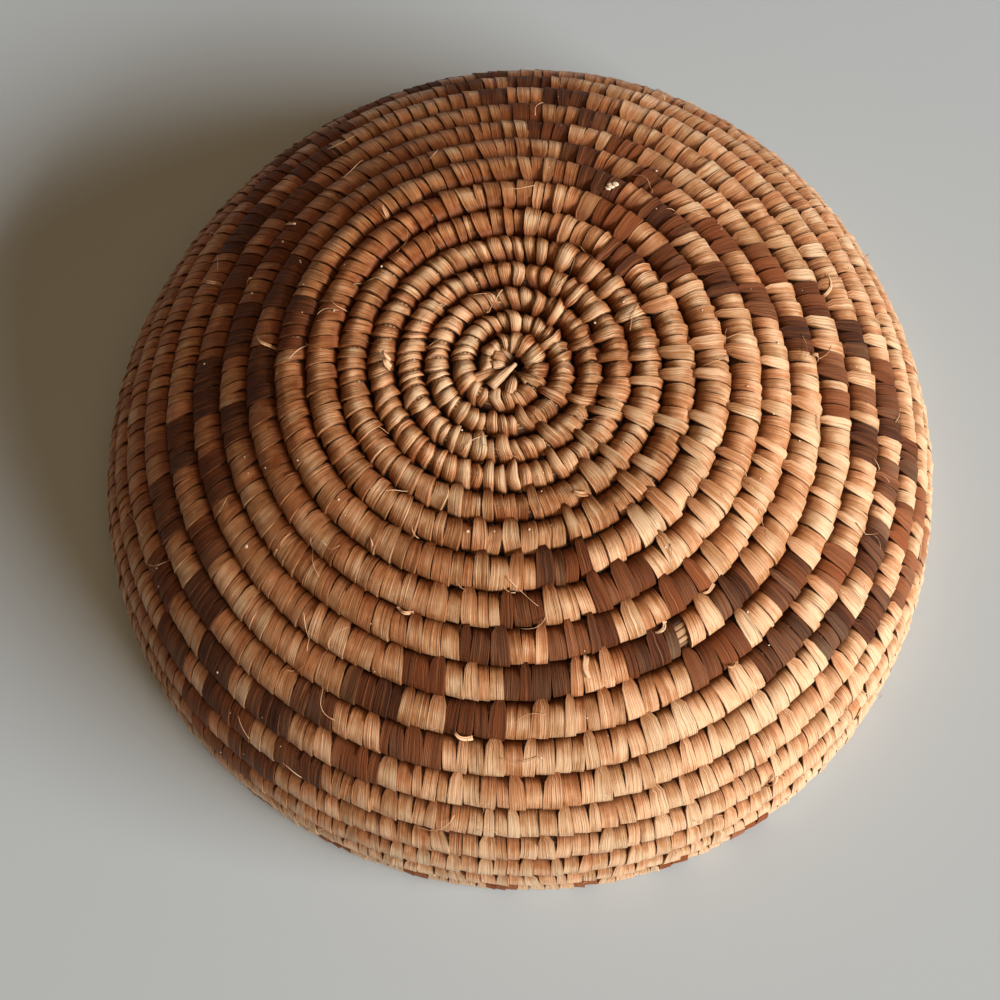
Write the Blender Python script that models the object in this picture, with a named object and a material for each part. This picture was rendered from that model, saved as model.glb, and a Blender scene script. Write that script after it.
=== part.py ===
"""A coiled bowl basket, lying mouth down as it was seen.

One bundle of fibre is wound in a spiral, clockwise as seen from above, from the centre of the flat base over the
bowl's wall to the rim. Flat strips of leaf wrap the bundle and bind each round to the round before. The wraps of
each round are one sleeve, open at both ends, that the bundle runs through. In the last round the coil gets
thinner all the way, so the rim is level.

Metres, +Z up. The rim stands on z = 0, the base is on top, and the basket's box is centred over the origin.
"""

import math

import bmesh
import bpy

# The wall, measured along its middle line from the centre of the base outwards
BASE_RADIUS = 0.059
SHOULDER_RADIUS = 0.040
FLARE_ANGLE = math.radians(28)
FLARE_LENGTH = 0.035
RIM_ANGLE = math.radians(93)
WALL_THICKNESS = 0.0084

# The coil: how many full rounds it has, the rim round included, and how wide it is along the wall
ROUNDS = 18
COIL_WIDTH_START = 0.0080
COIL_WIDTH_WALL = 0.0124
WIDENING_TURNS = 7.6

# Where the coil starts, in turns of the spiral: the first full round, the part turn before it, the tail left off
FIRST_ROUND_TURN = 0.68
PART_TURN = 0.55
TAIL_TURN = 0.25

# The sewing strips and the gap that parts two pieces which touch
STRIP_THICKNESS = 0.0007
FIT_GAP = 0.0003

# A basket made by hand isn't quite round: how far the rim stands out on its long sides and at its three blunt
# corners, and how far it sits off the base
OVAL_DEPTH = 0.0024
OVAL_AZIMUTH = math.radians(76)
CORNER_DEPTH = 0.0015
CORNER_AZIMUTH = math.radians(-45)
LEAN = 0.0057
LEAN_AZIMUTH = math.radians(4)

# Cross-section of the wrapped coil, as shares of its half width and half thickness
FLAT_SIDE = 0.42
FLAT_FACE = 0.52
KNOT_EDGE = 0.35
KNOT_CROWN = 0.70
TAIL_THINNESS = 0.40

# Facets round one turn of the coil: few on the small rounds of the base, twice as many on the rest
BASE_STEPS = 11
WALL_STEPS = 22
BASE_STEP_ROUNDS = 2
LEAST_STEP = 0.25
SHARP_ANGLE = math.radians(30)

# Colours of the leaf at the base and at the rim, of the bundle inside, and of the knot
LEAF_BASE_COLOUR = (0.36, 0.19, 0.09)
LEAF_RIM_COLOUR = (0.60, 0.40, 0.20)
FIBRE_COLOUR = (0.50, 0.38, 0.20)
KNOT_COLOUR = (0.25, 0.13, 0.06)
LEAF_ROUGHNESS = 0.55
FIBRE_ROUGHNESS = 0.85

# What follows from the sizes above. The coil starts at a corner of the facets that the next round has there
HALF_THICKNESS = WALL_THICKNESS / 2
SHOULDER_LENGTH = SHOULDER_RADIUS * FLARE_ANGLE
EYE_TURN = FIRST_ROUND_TURN - round(PART_TURN * BASE_STEPS) / BASE_STEPS
RIM_TURN = FIRST_ROUND_TURN + ROUNDS
OUTER_SECTION = (
    (1, -FLAT_SIDE), (1, FLAT_SIDE), (FLAT_FACE, 1), (-FLAT_FACE, 1),
    (-1, FLAT_SIDE), (-1, -FLAT_SIDE), (-FLAT_FACE, -1), (FLAT_FACE, -1),
)
INNER_SECTION = ((1, 0), (FLAT_FACE, 1), (-FLAT_FACE, 1), (-1, 0), (-FLAT_FACE, -1), (FLAT_FACE, -1))


def groove(turn):
    """Distance along the wall of the groove inside the coil: the coil's width, summed over the turns so far.

    The width grows from its start value to its wall value along a bell curve.
    """
    narrowing = (COIL_WIDTH_WALL - COIL_WIDTH_START) * WIDENING_TURNS * math.sqrt(math.pi) / 2
    return COIL_WIDTH_WALL * turn - narrowing * math.erf(turn / WIDENING_TURNS)


RIM_DISTANCE = groove(RIM_TURN) - FIT_GAP / 2
BEND_START = BASE_RADIUS + SHOULDER_LENGTH + FLARE_LENGTH
BEND_RADIUS = (RIM_DISTANCE - BEND_START) / (RIM_ANGLE - FLARE_ANGLE)


def wall_line(distance):
    """Radius, depth below the base and slope of the wall's middle line: flat, arc, straight flare, arc."""
    if distance <= BASE_RADIUS:
        return distance, 0.0, 0.0
    turned = min(distance - BASE_RADIUS, SHOULDER_LENGTH) / SHOULDER_RADIUS
    radius = BASE_RADIUS + SHOULDER_RADIUS * math.sin(turned)
    depth = SHOULDER_RADIUS * (1 - math.cos(turned))
    straight = min(max(distance - BASE_RADIUS - SHOULDER_LENGTH, 0.0), FLARE_LENGTH)
    radius += straight * math.cos(FLARE_ANGLE)
    depth += straight * math.sin(FLARE_ANGLE)
    if distance <= BEND_START:
        return radius, depth, turned
    slope = FLARE_ANGLE + (distance - BEND_START) / BEND_RADIUS
    radius += BEND_RADIUS * (math.sin(slope) - math.sin(FLARE_ANGLE))
    depth += BEND_RADIUS * (math.cos(FLARE_ANGLE) - math.cos(slope))
    return radius, depth, slope


RIM_RADIUS, RIM_DEPTH = wall_line(RIM_DISTANCE)[:2]


def azimuth_of(turn):
    """The coil runs clockwise from above, and each full round starts on the +X side."""
    return -2 * math.pi * (turn - FIRST_ROUND_TURN)


def shaped(distance, height, azimuth):
    """A point on the wall, at a height over its middle line, before the basket is centred."""
    radius, depth, slope = wall_line(distance)
    z = RIM_DEPTH - depth + height * math.cos(slope)
    if math.isclose(distance, RIM_DISTANCE):
        z = 0.0
    radius += height * math.sin(slope)
    share = (radius / RIM_RADIUS) ** 2
    oval = OVAL_DEPTH * math.cos(2 * (azimuth - OVAL_AZIMUTH))
    corners = CORNER_DEPTH * math.cos(3 * (azimuth - CORNER_AZIMUTH))
    stretched = radius * (1 + share * (oval + corners) / RIM_RADIUS)
    x = stretched * math.cos(azimuth) + share * LEAN * math.cos(LEAN_AZIMUTH)
    y = stretched * math.sin(azimuth) + share * LEAN * math.sin(LEAN_AZIMUTH)
    return x, y, z


def coil_section(turn):
    """Middle distance, half width and half thickness of the coil where its inner groove is at this turn."""
    inner = groove(turn) + FIT_GAP / 2
    outer = min(groove(turn + 1) - FIT_GAP / 2, RIM_DISTANCE)
    half_width = (outer - inner) / 2
    full_half_width = (groove(turn + 1) - groove(turn) - FIT_GAP) / 2
    thinned = TAIL_THINNESS + (1 - TAIL_THINNESS) * half_width / full_half_width
    return (inner + outer) / 2, half_width, HALF_THICKNESS * thinned


def section_ring(turn, azimuth, section, inset):
    """The corners of one cross-section, drawn in by the inset on every side."""
    middle, half_width, half_thickness = coil_section(turn)
    ring = []
    for across, up in section:
        distance = middle + across * (half_width - inset)
        ring.append(shaped(distance, up * (half_thickness - inset), azimuth))
    return ring


def steps_at(turn):
    """Facets per turn of the coil at this turn."""
    if turn < FIRST_ROUND_TURN + BASE_STEP_ROUNDS:
        return BASE_STEPS
    return WALL_STEPS


def stations(first, last):
    """Turns at which the coil gets a cross-section: both ends, and between them the same azimuths in every round."""
    turns = [first]
    while True:
        steps = steps_at(turns[-1])
        number = math.floor((turns[-1] - FIRST_ROUND_TURN) * steps + 1 + LEAST_STEP)
        turn = FIRST_ROUND_TURN + number / steps
        if turn > last - LEAST_STEP / steps:
            return turns + [last]
        turns.append(turn)


def clear_of_seam(turn, side):
    """Azimuth of an end face, half a gap back from the seam that it shares with the next piece."""
    radius = wall_line(coil_section(turn)[0])[0]
    return azimuth_of(turn) - side * FIT_GAP / 2 / radius


def coil_rings(first, last, section, inset):
    """All cross-sections of a stretch of the coil, its two end faces half a gap clear of their seams."""
    turns = stations(first, last)
    azimuths = [azimuth_of(turn) for turn in turns]
    azimuths[0] = clear_of_seam(first, 1)
    azimuths[-1] = clear_of_seam(last, -1)
    return [section_ring(turn, azimuth, section, inset) for turn, azimuth in zip(turns, azimuths)]


def basket_centre():
    """Middle of the box round the basket, from the outer skin of the whole coil."""
    xs = []
    ys = []
    for ring in coil_rings(EYE_TURN, RIM_TURN - TAIL_TURN, OUTER_SECTION, 0.0):
        xs += [point[0] for point in ring]
        ys += [point[1] for point in ring]
    return (min(xs) + max(xs)) / 2, (min(ys) + max(ys)) / 2


CENTRE_X, CENTRE_Y = basket_centre()


def new_vertices(bm, ring):
    """Vertices of one cross-section, moved so that the basket stands centred over the origin."""
    return [bm.verts.new((x - CENTRE_X, y - CENTRE_Y, z)) for x, y, z in ring]


def end_face(bm, outer, inner):
    """The cut edge of the wraps at an open end: each outer corner is joined to the inner corner nearest to it."""
    partners = []
    for corner in OUTER_SECTION:
        gaps = [math.dist(corner, other) for other in INNER_SECTION]
        partners.append(inner[gaps.index(min(gaps))])
    for index in range(len(outer)):
        after = (index + 1) % len(outer)
        corners = [outer[index], outer[after], partners[after]]
        if partners[index] is not partners[after]:
            corners.append(partners[index])
        bm.faces.new(corners)


def skin(bm, loops):
    """A tube of four-sided faces along the loops."""
    for near, far in zip(loops, loops[1:]):
        for index in range(len(near)):
            after = (index + 1) % len(near)
            bm.faces.new((near[index], near[after], far[after], far[index]))


def finish_object(name, bm, colour, roughness):
    """Turns the faces outwards, and makes the object with a material of its own."""
    bmesh.ops.recalc_face_normals(bm, faces=bm.faces)
    mesh = bpy.data.meshes.new(name)
    bm.to_mesh(mesh)
    bm.free()
    mesh.shade_smooth()
    mesh.set_sharp_from_angle(angle=SHARP_ANGLE)
    material = bpy.data.materials.new(name)
    material.use_nodes = True
    shader = material.node_tree.nodes["Principled BSDF"]
    shader.inputs["Base Color"].default_value = (*colour, 1.0)
    shader.inputs["Roughness"].default_value = roughness
    shader.inputs["Metallic"].default_value = 0.0
    mesh.materials.append(material)
    piece = bpy.data.objects.new(name, mesh)
    bpy.context.scene.collection.objects.link(piece)
    return piece


def leaf_colour(turn):
    """The leaf is browner on the base and paler towards the rim."""
    share = turn / RIM_TURN
    return tuple(low + (high - low) * share for low, high in zip(LEAF_BASE_COLOUR, LEAF_RIM_COLOUR))


def wrap_sleeve(name, first, last):
    """The wraps of one stretch of the coil: an outer and an inner skin, joined round both open ends."""
    bm = bmesh.new()
    outer = [new_vertices(bm, ring) for ring in coil_rings(first, last, OUTER_SECTION, 0.0)]
    inner = [new_vertices(bm, ring) for ring in coil_rings(first, last, INNER_SECTION, STRIP_THICKNESS)]
    skin(bm, outer)
    skin(bm, inner)
    for end in (0, -1):
        end_face(bm, outer[end], inner[end])
    return finish_object(name, bm, leaf_colour(first), LEAF_ROUGHNESS)


def foundation_bundle():
    """The one long bundle of fibre inside every sleeve, from the eye to the tail."""
    bm = bmesh.new()
    inset = STRIP_THICKNESS + FIT_GAP
    loops = [new_vertices(bm, ring) for ring in coil_rings(EYE_TURN, RIM_TURN - TAIL_TURN, INNER_SECTION, inset)]
    skin(bm, loops)
    bm.faces.new(loops[0])
    bm.faces.new(loops[-1])
    return finish_object("foundation_bundle", bm, FIBRE_COLOUR, FIBRE_ROUGHNESS)


def start_knot():
    """The knot in the eye of the coil: a comma-shaped plug that fills the space inside the first turn."""
    bm = bmesh.new()
    turns = stations(EYE_TURN, EYE_TURN + 1)
    azimuths = [azimuth_of(turn) for turn in turns]
    top = []
    bottom = []
    for turn, azimuth in zip(turns, azimuths):
        distance = groove(turn) - FIT_GAP / 2
        if turn is turns[-1]:
            azimuth += FIT_GAP / distance
        edge = KNOT_EDGE * HALF_THICKNESS
        top += new_vertices(bm, [shaped(distance, edge, azimuth)])
        bottom += new_vertices(bm, [shaped(distance, -edge, azimuth)])
    crown = KNOT_CROWN * HALF_THICKNESS
    high, low = new_vertices(bm, [shaped(0.0, crown, 0.0), shaped(0.0, -crown, 0.0)])
    for index in range(len(top)):
        after = (index + 1) % len(top)
        bm.faces.new((top[index], top[after], high))
        bm.faces.new((bottom[index], bottom[after], low))
        bm.faces.new((top[index], top[after], bottom[after], bottom[index]))
    return finish_object("start_knot", bm, KNOT_COLOUR, LEAF_ROUGHNESS)


def main():
    """Clears the scene and builds the basket from the eye to the rim."""
    for old in list(bpy.data.objects):
        bpy.data.objects.remove(old, do_unlink=True)
    start_knot()
    foundation_bundle()
    wrap_sleeve("wrap_start", EYE_TURN, FIRST_ROUND_TURN)
    for number in range(1, ROUNDS):
        first = FIRST_ROUND_TURN + number - 1
        wrap_sleeve(f"wrap_round_{number:02d}", first, first + 1)
    wrap_sleeve("wrap_rim", RIM_TURN - 1, RIM_TURN - TAIL_TURN)


main()
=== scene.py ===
"""Dresses the frame of a coiled basket bowl: the wraps of leaf, the bundle inside, the knot, loose ends.

The bowl lies mouth down. The coil runs clockwise from above, from the knot in the middle of the base to the
rim. Two measures place everything: the turn, counted along the spiral, and the distance from the middle of
the base, measured along the wall. Metres, +Z up.
"""

import math

import bpy
import numpy as np
from bpy.props import FloatProperty, FloatVectorProperty, IntProperty, IntVectorProperty, PointerProperty
from mathutils import Matrix


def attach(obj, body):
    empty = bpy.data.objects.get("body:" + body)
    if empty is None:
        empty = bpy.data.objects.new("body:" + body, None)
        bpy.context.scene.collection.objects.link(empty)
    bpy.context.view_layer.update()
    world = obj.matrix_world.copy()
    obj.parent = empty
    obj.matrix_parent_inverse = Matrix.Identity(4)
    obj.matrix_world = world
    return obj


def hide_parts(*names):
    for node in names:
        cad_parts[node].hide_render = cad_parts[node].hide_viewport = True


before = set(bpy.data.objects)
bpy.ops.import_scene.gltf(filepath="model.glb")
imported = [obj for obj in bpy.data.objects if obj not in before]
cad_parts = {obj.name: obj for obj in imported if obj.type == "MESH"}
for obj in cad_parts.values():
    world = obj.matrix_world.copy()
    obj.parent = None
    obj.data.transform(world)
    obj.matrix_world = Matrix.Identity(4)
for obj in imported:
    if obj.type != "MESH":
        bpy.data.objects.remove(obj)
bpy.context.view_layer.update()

bl_info = {
    "name": "Coiled basket bowl",
    "version": (1, 0, 0),
    "blender": (4, 5, 0),
    "location": "View3D > Sidebar > Basket",
    "description": "Sews a coiled basket bowl in strips of leaf round its packed frame",
    "category": "Object",
}

MILLIMETRE = 0.001
FULL_TURN = 2 * math.pi
# How far apart the seeds of two strips may lie, so that the leaf's noise differs between them.
SEEDS = 500
# Keeps a share off zero, and a corner at the top of the section out of its inner half.
TINY = 0.001


def length(name, description, default):
    """A property that holds a length in metres."""
    return FloatProperty(name=name, description=description, default=default, precision=5, unit="LENGTH")


def lengths(name, description, *defaults):
    """A property that holds a few lengths in metres."""
    return FloatVectorProperty(name=name, description=description, default=defaults, size=len(defaults),
                               precision=5, unit="LENGTH")


def angle(name, description, degrees):
    """A property that holds an angle, its default given in degrees."""
    return FloatProperty(name=name, description=description, default=math.radians(degrees), subtype="ANGLE")


def amount(name, description, default):
    """A property that holds a plain number, such as a share of something or a count of turns."""
    return FloatProperty(name=name, description=description, default=default, precision=3)


def whole(name, description, default):
    """A property that holds a whole number."""
    return IntProperty(name=name, description=description, default=default)


def colour(name, description, default):
    """A property that holds a colour, in linear light."""
    return FloatVectorProperty(name=name, description=description, default=default, size=3, min=0, max=1,
                               subtype="COLOR")


class BasketForm(bpy.types.PropertyGroup):
    """The wall and the coil, as the frame has them."""

    base_radius: length("Base radius", "Radius of the flat part of the base", 0.059)
    shoulder_radius: length("Shoulder radius", "Radius of the bend from the base into the wall", 0.040)
    flare_angle: angle("Flare angle", "Slope of the straight part of the wall", 28)
    flare_length: length("Flare length", "Length of the straight part of the wall", 0.035)
    rim_angle: angle("Rim angle", "Slope of the wall at the rim", 93)
    wall_thickness: length("Wall thickness", "Thickness of the coil, across the wall", 0.0084)
    rounds: whole("Rounds", "Full rounds of the coil, the rim round included", 18)
    coil_width_start: length("Coil width at the start", "Width of the coil in the eye", 0.0080)
    coil_width_wall: length("Coil width on the wall", "Width of the coil once it has widened", 0.0124)
    widening_turns: amount("Widening turns", "Turns over which the coil widens", 7.6)
    first_round_turn: amount("First round", "Turn at which the first full round starts", 0.68)
    part_turn: amount("Part turn", "Turns of coil before the first full round", 6 / 11)
    tail_turn: amount("Tail", "Share of the last turn that the tail stops short of", 0.25)
    oval_depth: length("Oval", "How far the rim stands out on its long sides", 0.0024)
    oval_azimuth: angle("Oval azimuth", "Direction of the long sides", 76)
    corner_depth: length("Corners", "How far the rim stands out at its three blunt corners", 0.0015)
    corner_azimuth: angle("Corner azimuth", "Direction of one of the corners", -45)
    lean: length("Lean", "How far the rim sits off the base", 0.0057)
    lean_azimuth: angle("Lean azimuth", "Direction in which the rim sits off the base", 4)


class LeafStrips(bpy.types.PropertyGroup):
    """How the strips of leaf are cut and sewn. Where there are two values, the first is for the eye."""

    widths: lengths("Strip widths", "Width of one wrap", 0.0034, 0.0045)
    unevenness: amount("Unevenness", "How much the wraps differ in width, as a share", 0.34)
    group_least: whole("Fewest wraps", "Fewest wraps from one stitch to the next", 2)
    group_most: whole("Most wraps", "Most wraps from one stitch to the next", 4)
    fullness: length("Fullness", "How far the wraps stand over the frame's coil", 0.00055)
    rim_fullness: length("Rim fullness", "How much further the wraps of the rim stand over it", 0.0008)
    stitch_reach: length("Stitch reach", "How far a stitch goes into the round before", 0.0034)
    reach_spread: amount("Reach spread", "How much the reach differs round the basket, as a share", 0.38)
    reach_azimuth: angle("Reach azimuth", "Clockwise angle from +X at which the stitches reach furthest", 15)
    stitch_lift: length("Stitch lift", "How far a stitch stands over the wraps beside it", 0.00034)
    tip_eye: amount("Tip in the eye", "Width of a stitch where it goes in, as a share, in the eye", 0.12)
    tip_wall: amount("Tip on the wall", "Width of a stitch where it goes in, as a share, on the wall", 0.24)
    rises: lengths("Rises", "How much the wraps differ in height", 0.00028, 0.00014)
    overlaps: lengths("Overlaps", "How far one edge of a wrap stands over its other edge", 0.00060, 0.00020)
    ragged: amount("Ragged ends", "How much the wraps differ in reach at the grooves, as a share", 0.05)
    slant_eye: angle("Slant in the eye", "Mean lean of the wraps along the coil, on the base", -17)
    slant_near: angle("Slant on the near wall", "Mean lean where the stitches reach furthest", 4)
    slant_far: angle("Slant on the far wall", "Mean lean where the stitches reach least", -9)
    slant_spread: angle("Slant spread", "How much the wraps differ in lean", 9)
    curl: amount("Curl", "How far the wraps bend sideways at the grooves, as a share of their width", 0.62)
    edge_depth: length("Edge depth", "How far the edges of a wrap go down beside the next", 0.0012)
    crowns: lengths("Crowns", "How far a wrap's face lies under the top of the coil", 0.00042, 0.00012)
    bulge: length("Bulge", "How far a group of wraps bulges on the base", 0.0010)
    pinch: amount("Pinch", "How much a group of wraps narrows at the grooves of the base", 0.16)
    shingle: length("Shingle", "How far the outer edge of each round stands over its inner edge", 0.0004)
    seed: whole("Seed", "Start of the random numbers", 11)


class ZigzagPattern(bpy.types.PropertyGroup):
    """The two zigzag lines of dyed blocks, and the ticks on the rim."""

    block_lengths: lengths("Block lengths", "Length of a dyed block of the inner line, one for each corner",
                           0.0155, 0.0160, 0.0115)
    peak_azimuths: FloatVectorProperty(
        name="Peaks", description="Clockwise angles from +X of the zigzag's inner corners", size=3,
        default=(math.radians(77), math.radians(193), math.radians(315.5)), subtype="EULER")
    peak_rounds: IntVectorProperty(
        name="Peak rounds", description="Rounds in which the inner line has its corners", size=3,
        default=(7, 7, 5))
    line_spacing: whole("Line spacing", "Rounds from one line to the next", 2)
    last_round: whole("Last round", "Last round of the inner line", 14)
    tick_length: length("Tick length", "Length of a dyed tick on the rim", 0.012)
    tick_azimuth: angle("Tick azimuth", "Clockwise angle from +X of the middle of one tick on the rim", 61)
    tick_spacing: length("Tick spacing", "Distance from one tick on the rim to the next", 0.029)


class LooseEnds(bpy.types.PropertyGroup):
    """What stands out of the sewing: bare reeds, ends of strips, fibres and flecks."""

    bare_round: whole("Bare round", "Round with a missing wrap, where reeds show", 10)
    bare_azimuth: angle("Bare place", "Clockwise angle from +X of the missing wrap", 59.5)
    fibres: whole("Fibres", "How many loose fibres lie on the basket by chance", 90)
    fibre_length: length("Fibre length", "Mean length of a loose fibre", 0.0085)
    fibre_width: length("Fibre width", "Width of a loose fibre", 0.00027)
    strip_ends: whole("Strip ends", "How many cut ends of strips stick out by chance", 18)
    strip_end_length: length("Strip end length", "Mean length of an end that sticks out", 0.0052)
    flecks: whole("Flecks", "How many pale flecks lie on the leaf", 220)
    fleck_radius: length("Fleck radius", "Mean radius of a fleck", 0.00025)


class LeafColours(bpy.types.PropertyGroup):
    """Colours of the leaf and of the fibre inside."""

    pale: colour("Pale leaf", "The palest undyed leaf", (0.80, 0.575, 0.385))
    tan: colour("Tan leaf", "Most of the undyed leaf", (0.47, 0.230, 0.105))
    brown: colour("Brown leaf", "The darkest undyed leaf", (0.205, 0.066, 0.020))
    dark_dye: colour("Dark dye", "Leaf dyed dark brown", (0.031, 0.0085, 0.0030))
    red_dye: colour("Red dye", "Leaf dyed reddish brown", (0.27, 0.076, 0.023))
    # Painted shade: the leaf is darkened on the side of the wall that faces away from the window light.
    shaded_side: amount("Browner side", "How much browner the leaf is on one side of the wall", 0.36)
    shaded_azimuth: angle("Browner azimuth", "Direction of the browner side", 150)
    # Painted light: the base is made paler towards -X and darker towards +X.
    base_painted_light: amount("Paler side", "How much paler the base is towards -X than in its middle", 0.20)
    # Groove colour: painted shade, blended into the grooves, the wrap edges, the creases and the reed seams.
    groove: colour("Grooves", "Soiled leaf, deep in the grooves", (0.062, 0.018, 0.005))
    reed: colour("Reed", "Foundation fibre where it shows", (0.46, 0.31, 0.16))
    fleck: colour("Fleck", "Pale flecks on the leaf", (0.86, 0.80, 0.70))


class Studio(bpy.types.PropertyGroup):
    """Camera, lights and floor."""

    camera_elevation: angle("Camera elevation", "How far the camera looks down", 71.4)
    camera_roll: angle("Camera roll", "How far the camera is turned about its line of sight", 1.2)
    camera_distance: length("Camera distance", "Depth of the base's middle in front of the camera", 0.4507)
    camera_right: length("Camera right", "How far the base's middle is right of the line of sight", 0.00185)
    camera_up: length("Camera up", "How far the base's middle is above the line of sight", 0.0418)
    lens: amount("Lens", "Focal length in millimetres on a 36 mm sensor", 50.8)
    floor_colour: colour("Floor", "Colour of the floor", (0.475, 0.550, 0.625))
    room_colour: colour("Room", "Colour of the room past the floor", (0.56, 0.57, 0.56))
    key_power: amount("Key light", "Power of the wide light at the right, in watts", 1200.0)
    key_azimuth: angle("Key azimuth", "Direction of the wide light", -27)
    key_elevation: angle("Key elevation", "Height of the wide light over the floor", 25)
    top_power: amount("Top light", "Power of the soft light from above, in watts", 5.7)
    sky_level: amount("Sky", "Level of the even light from all sides", 0.033)


class Coil:
    """The spiral coil on the bowl's wall, worked out from the form, for whole arrays of turns and distances.

    The powers say how square its section is on the base and down the wall: 2 is a circle.
    """

    TABLE_STEPS_PER_TURN = 400
    POWERS = (2.0, 2.5)
    SQUARER_OVER = 1.7
    TAIL_THINNEST = 0.4
    WALL_PLACE = 0.9
    FLAT_PLACE = 0.68

    def __init__(self, scene):
        form = scene.basket_form
        self.form = form
        self.eye_turn = form.first_round_turn - form.part_turn
        self.rim_turn = form.first_round_turn + form.rounds
        self.tail_end = self.rim_turn - form.tail_turn
        steps = int((self.rim_turn + 2) * self.TABLE_STEPS_PER_TURN)
        self.turns = np.linspace(0, self.rim_turn + 2, steps)
        narrowing = form.coil_width_wall - form.coil_width_start
        widths = form.coil_width_wall - narrowing * np.exp(-(self.turns / form.widening_turns) ** 2)
        self.grooves = self.summed(widths, self.turns)
        self.rim_distance = float(self.groove(self.rim_turn))
        self.shoulder_length = form.shoulder_radius * form.flare_angle
        self.bend_start = form.base_radius + self.shoulder_length + form.flare_length
        self.bend_radius = (self.rim_distance - self.bend_start) / (form.rim_angle - form.flare_angle)
        self.rim_radius, self.rim_depth, _ = self.wall_line(self.rim_distance)
        self.centre = self.base_centre()
        radii = self.wall_line(self.middle(self.turns))[0]
        self.lengths = self.summed(FULL_TURN * radii, self.turns)

    def round_limits(self, number):
        """Turns at which a round starts and ends. Round 0 is in the eye, and the last stops at the tail."""
        if number == 0:
            return self.eye_turn, self.form.first_round_turn
        first = self.form.first_round_turn + number - 1
        return first, self.tail_end if number == self.form.rounds else first + 1

    @staticmethod
    def summed(rates, steps):
        """Running sum of a rate over its steps, by the mean of each two neighbours."""
        parts = (rates[1:] + rates[:-1]) / 2 * np.diff(steps)
        return np.concatenate(([0.0], np.cumsum(parts)))

    @staticmethod
    def base_centre():
        """Where the middle of the base is: under the highest corner of the frame's knot."""
        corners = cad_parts["start_knot"].data.vertices
        places = np.empty(len(corners) * 3)
        corners.foreach_get("co", places)
        places = places.reshape(-1, 3)
        return places[np.argmax(places[:, 2]), :2]

    def groove(self, turn):
        """Distance of the groove inside the coil at a turn: the coil's width summed over the turns so far.

        The width grows from its start value to its wall value along a bell curve.
        """
        return np.interp(turn, self.turns, self.grooves)

    def wall_line(self, distance):
        """Radius, depth below the base and slope of the wall's middle line: flat, arc, straight, arc."""
        form = self.form
        turned = np.clip(distance - form.base_radius, 0, self.shoulder_length) / form.shoulder_radius
        straight = np.clip(distance - form.base_radius - self.shoulder_length, 0, form.flare_length)
        bent = form.flare_angle + np.maximum(distance - self.bend_start, 0) / self.bend_radius
        radius = np.minimum(distance, form.base_radius) + form.shoulder_radius * np.sin(turned)
        radius = radius + straight * math.cos(form.flare_angle)
        radius = radius + self.bend_radius * (np.sin(bent) - math.sin(form.flare_angle))
        depth = form.shoulder_radius * (1 - np.cos(turned)) + straight * math.sin(form.flare_angle)
        depth = depth + self.bend_radius * (math.cos(form.flare_angle) - np.cos(bent))
        return radius, depth, turned + bent - form.flare_angle

    def azimuth(self, turn):
        """The coil runs clockwise from above, and each full round starts on the +X side."""
        return -FULL_TURN * (turn - self.form.first_round_turn)

    def place(self, distance, height, azimuth):
        """Points at a distance along the wall and a height over its middle line, in the frame.

        The radius is stretched towards the rim into a slight oval with three blunt corners, and the rim is
        shifted off the base. Nothing goes below the plane that the rim stands on.
        """
        form = self.form
        radius, depth, slope = self.wall_line(distance)
        z = self.rim_depth - depth + height * np.cos(slope)
        radius = radius + height * np.sin(slope)
        share = (radius / self.rim_radius) ** 2
        oval = form.oval_depth * np.cos(2 * (azimuth - form.oval_azimuth))
        corners = form.corner_depth * np.cos(3 * (azimuth - form.corner_azimuth))
        stretched = radius * (1 + share * (oval + corners) / self.rim_radius)
        x = stretched * np.cos(azimuth) + share * form.lean * math.cos(form.lean_azimuth) + self.centre[0]
        y = stretched * np.sin(azimuth) + share * form.lean * math.sin(form.lean_azimuth) + self.centre[1]
        return np.stack(np.broadcast_arrays(x, y, np.maximum(z, 0.0)), axis=-1)

    def outer_groove(self, turn):
        """Distance of the groove outside the coil, which the level rim cuts short in the last round."""
        return np.minimum(self.groove(turn + 1), self.rim_distance)

    def middle(self, turn):
        """Distance of the coil's middle line."""
        return (self.groove(turn) + self.outer_groove(turn)) / 2

    def half_width(self, turn):
        """Half the coil's width along the wall."""
        return (self.outer_groove(turn) - self.groove(turn)) / 2

    def half_thickness(self, turn):
        """Half the coil's thickness across the wall, thinning with the tail."""
        full = (self.groove(turn + 1) - self.groove(turn)) / 2
        return self.form.wall_thickness / 2 * mix(self.TAIL_THINNEST, 1, self.half_width(turn) / full)

    def on_surface(self, turn, across, lift):
        """Points on the outside of the sewing, lifted off it.

        Across is counted in half widths from the coil's middle line. Where it leaves the coil, the point
        belongs to the next round, or to the one before. The skin is a squarish circle over the middle line.
        """
        rounds_over = np.floor((across + 1) / 2)
        turn = turn + rounds_over
        across = across - 2 * rounds_over
        power = self.section_power(turn)
        arch = (1 - np.minimum(np.abs(across), 1.0) ** power) ** (1 / power)
        height = self.half_thickness(turn) * arch + lift
        distance = np.minimum(self.middle(turn) + across * self.half_width(turn), self.rim_distance)
        return self.place(distance, height, self.azimuth(turn))

    def length_at(self, turn):
        """Length of coil up to a turn."""
        return np.interp(turn, self.turns, self.lengths)

    def turn_at(self, coil_length):
        """Turn at a length of coil."""
        return np.interp(coil_length, self.lengths, self.turns)

    def section_power(self, turn):
        """How square the coil's section is: near a circle on the base, with a flatter face down the wall."""
        past_base = self.middle(turn) - self.form.base_radius
        return mix(*self.POWERS, smooth(past_base / (self.SQUARER_OVER * self.form.shoulder_radius)))

    def wall_share(self, turn):
        """0 in the eye and 1 where the base bends into the wall, with a smooth rise between."""
        return smooth(self.middle(turn) / self.form.base_radius * self.WALL_PLACE)

    def flat_share(self, turn):
        """0 in the eye and 1 halfway down the wall, from where the wraps lie flat and close."""
        return smooth(self.middle(turn) / self.form.base_radius * self.FLAT_PLACE)


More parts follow.
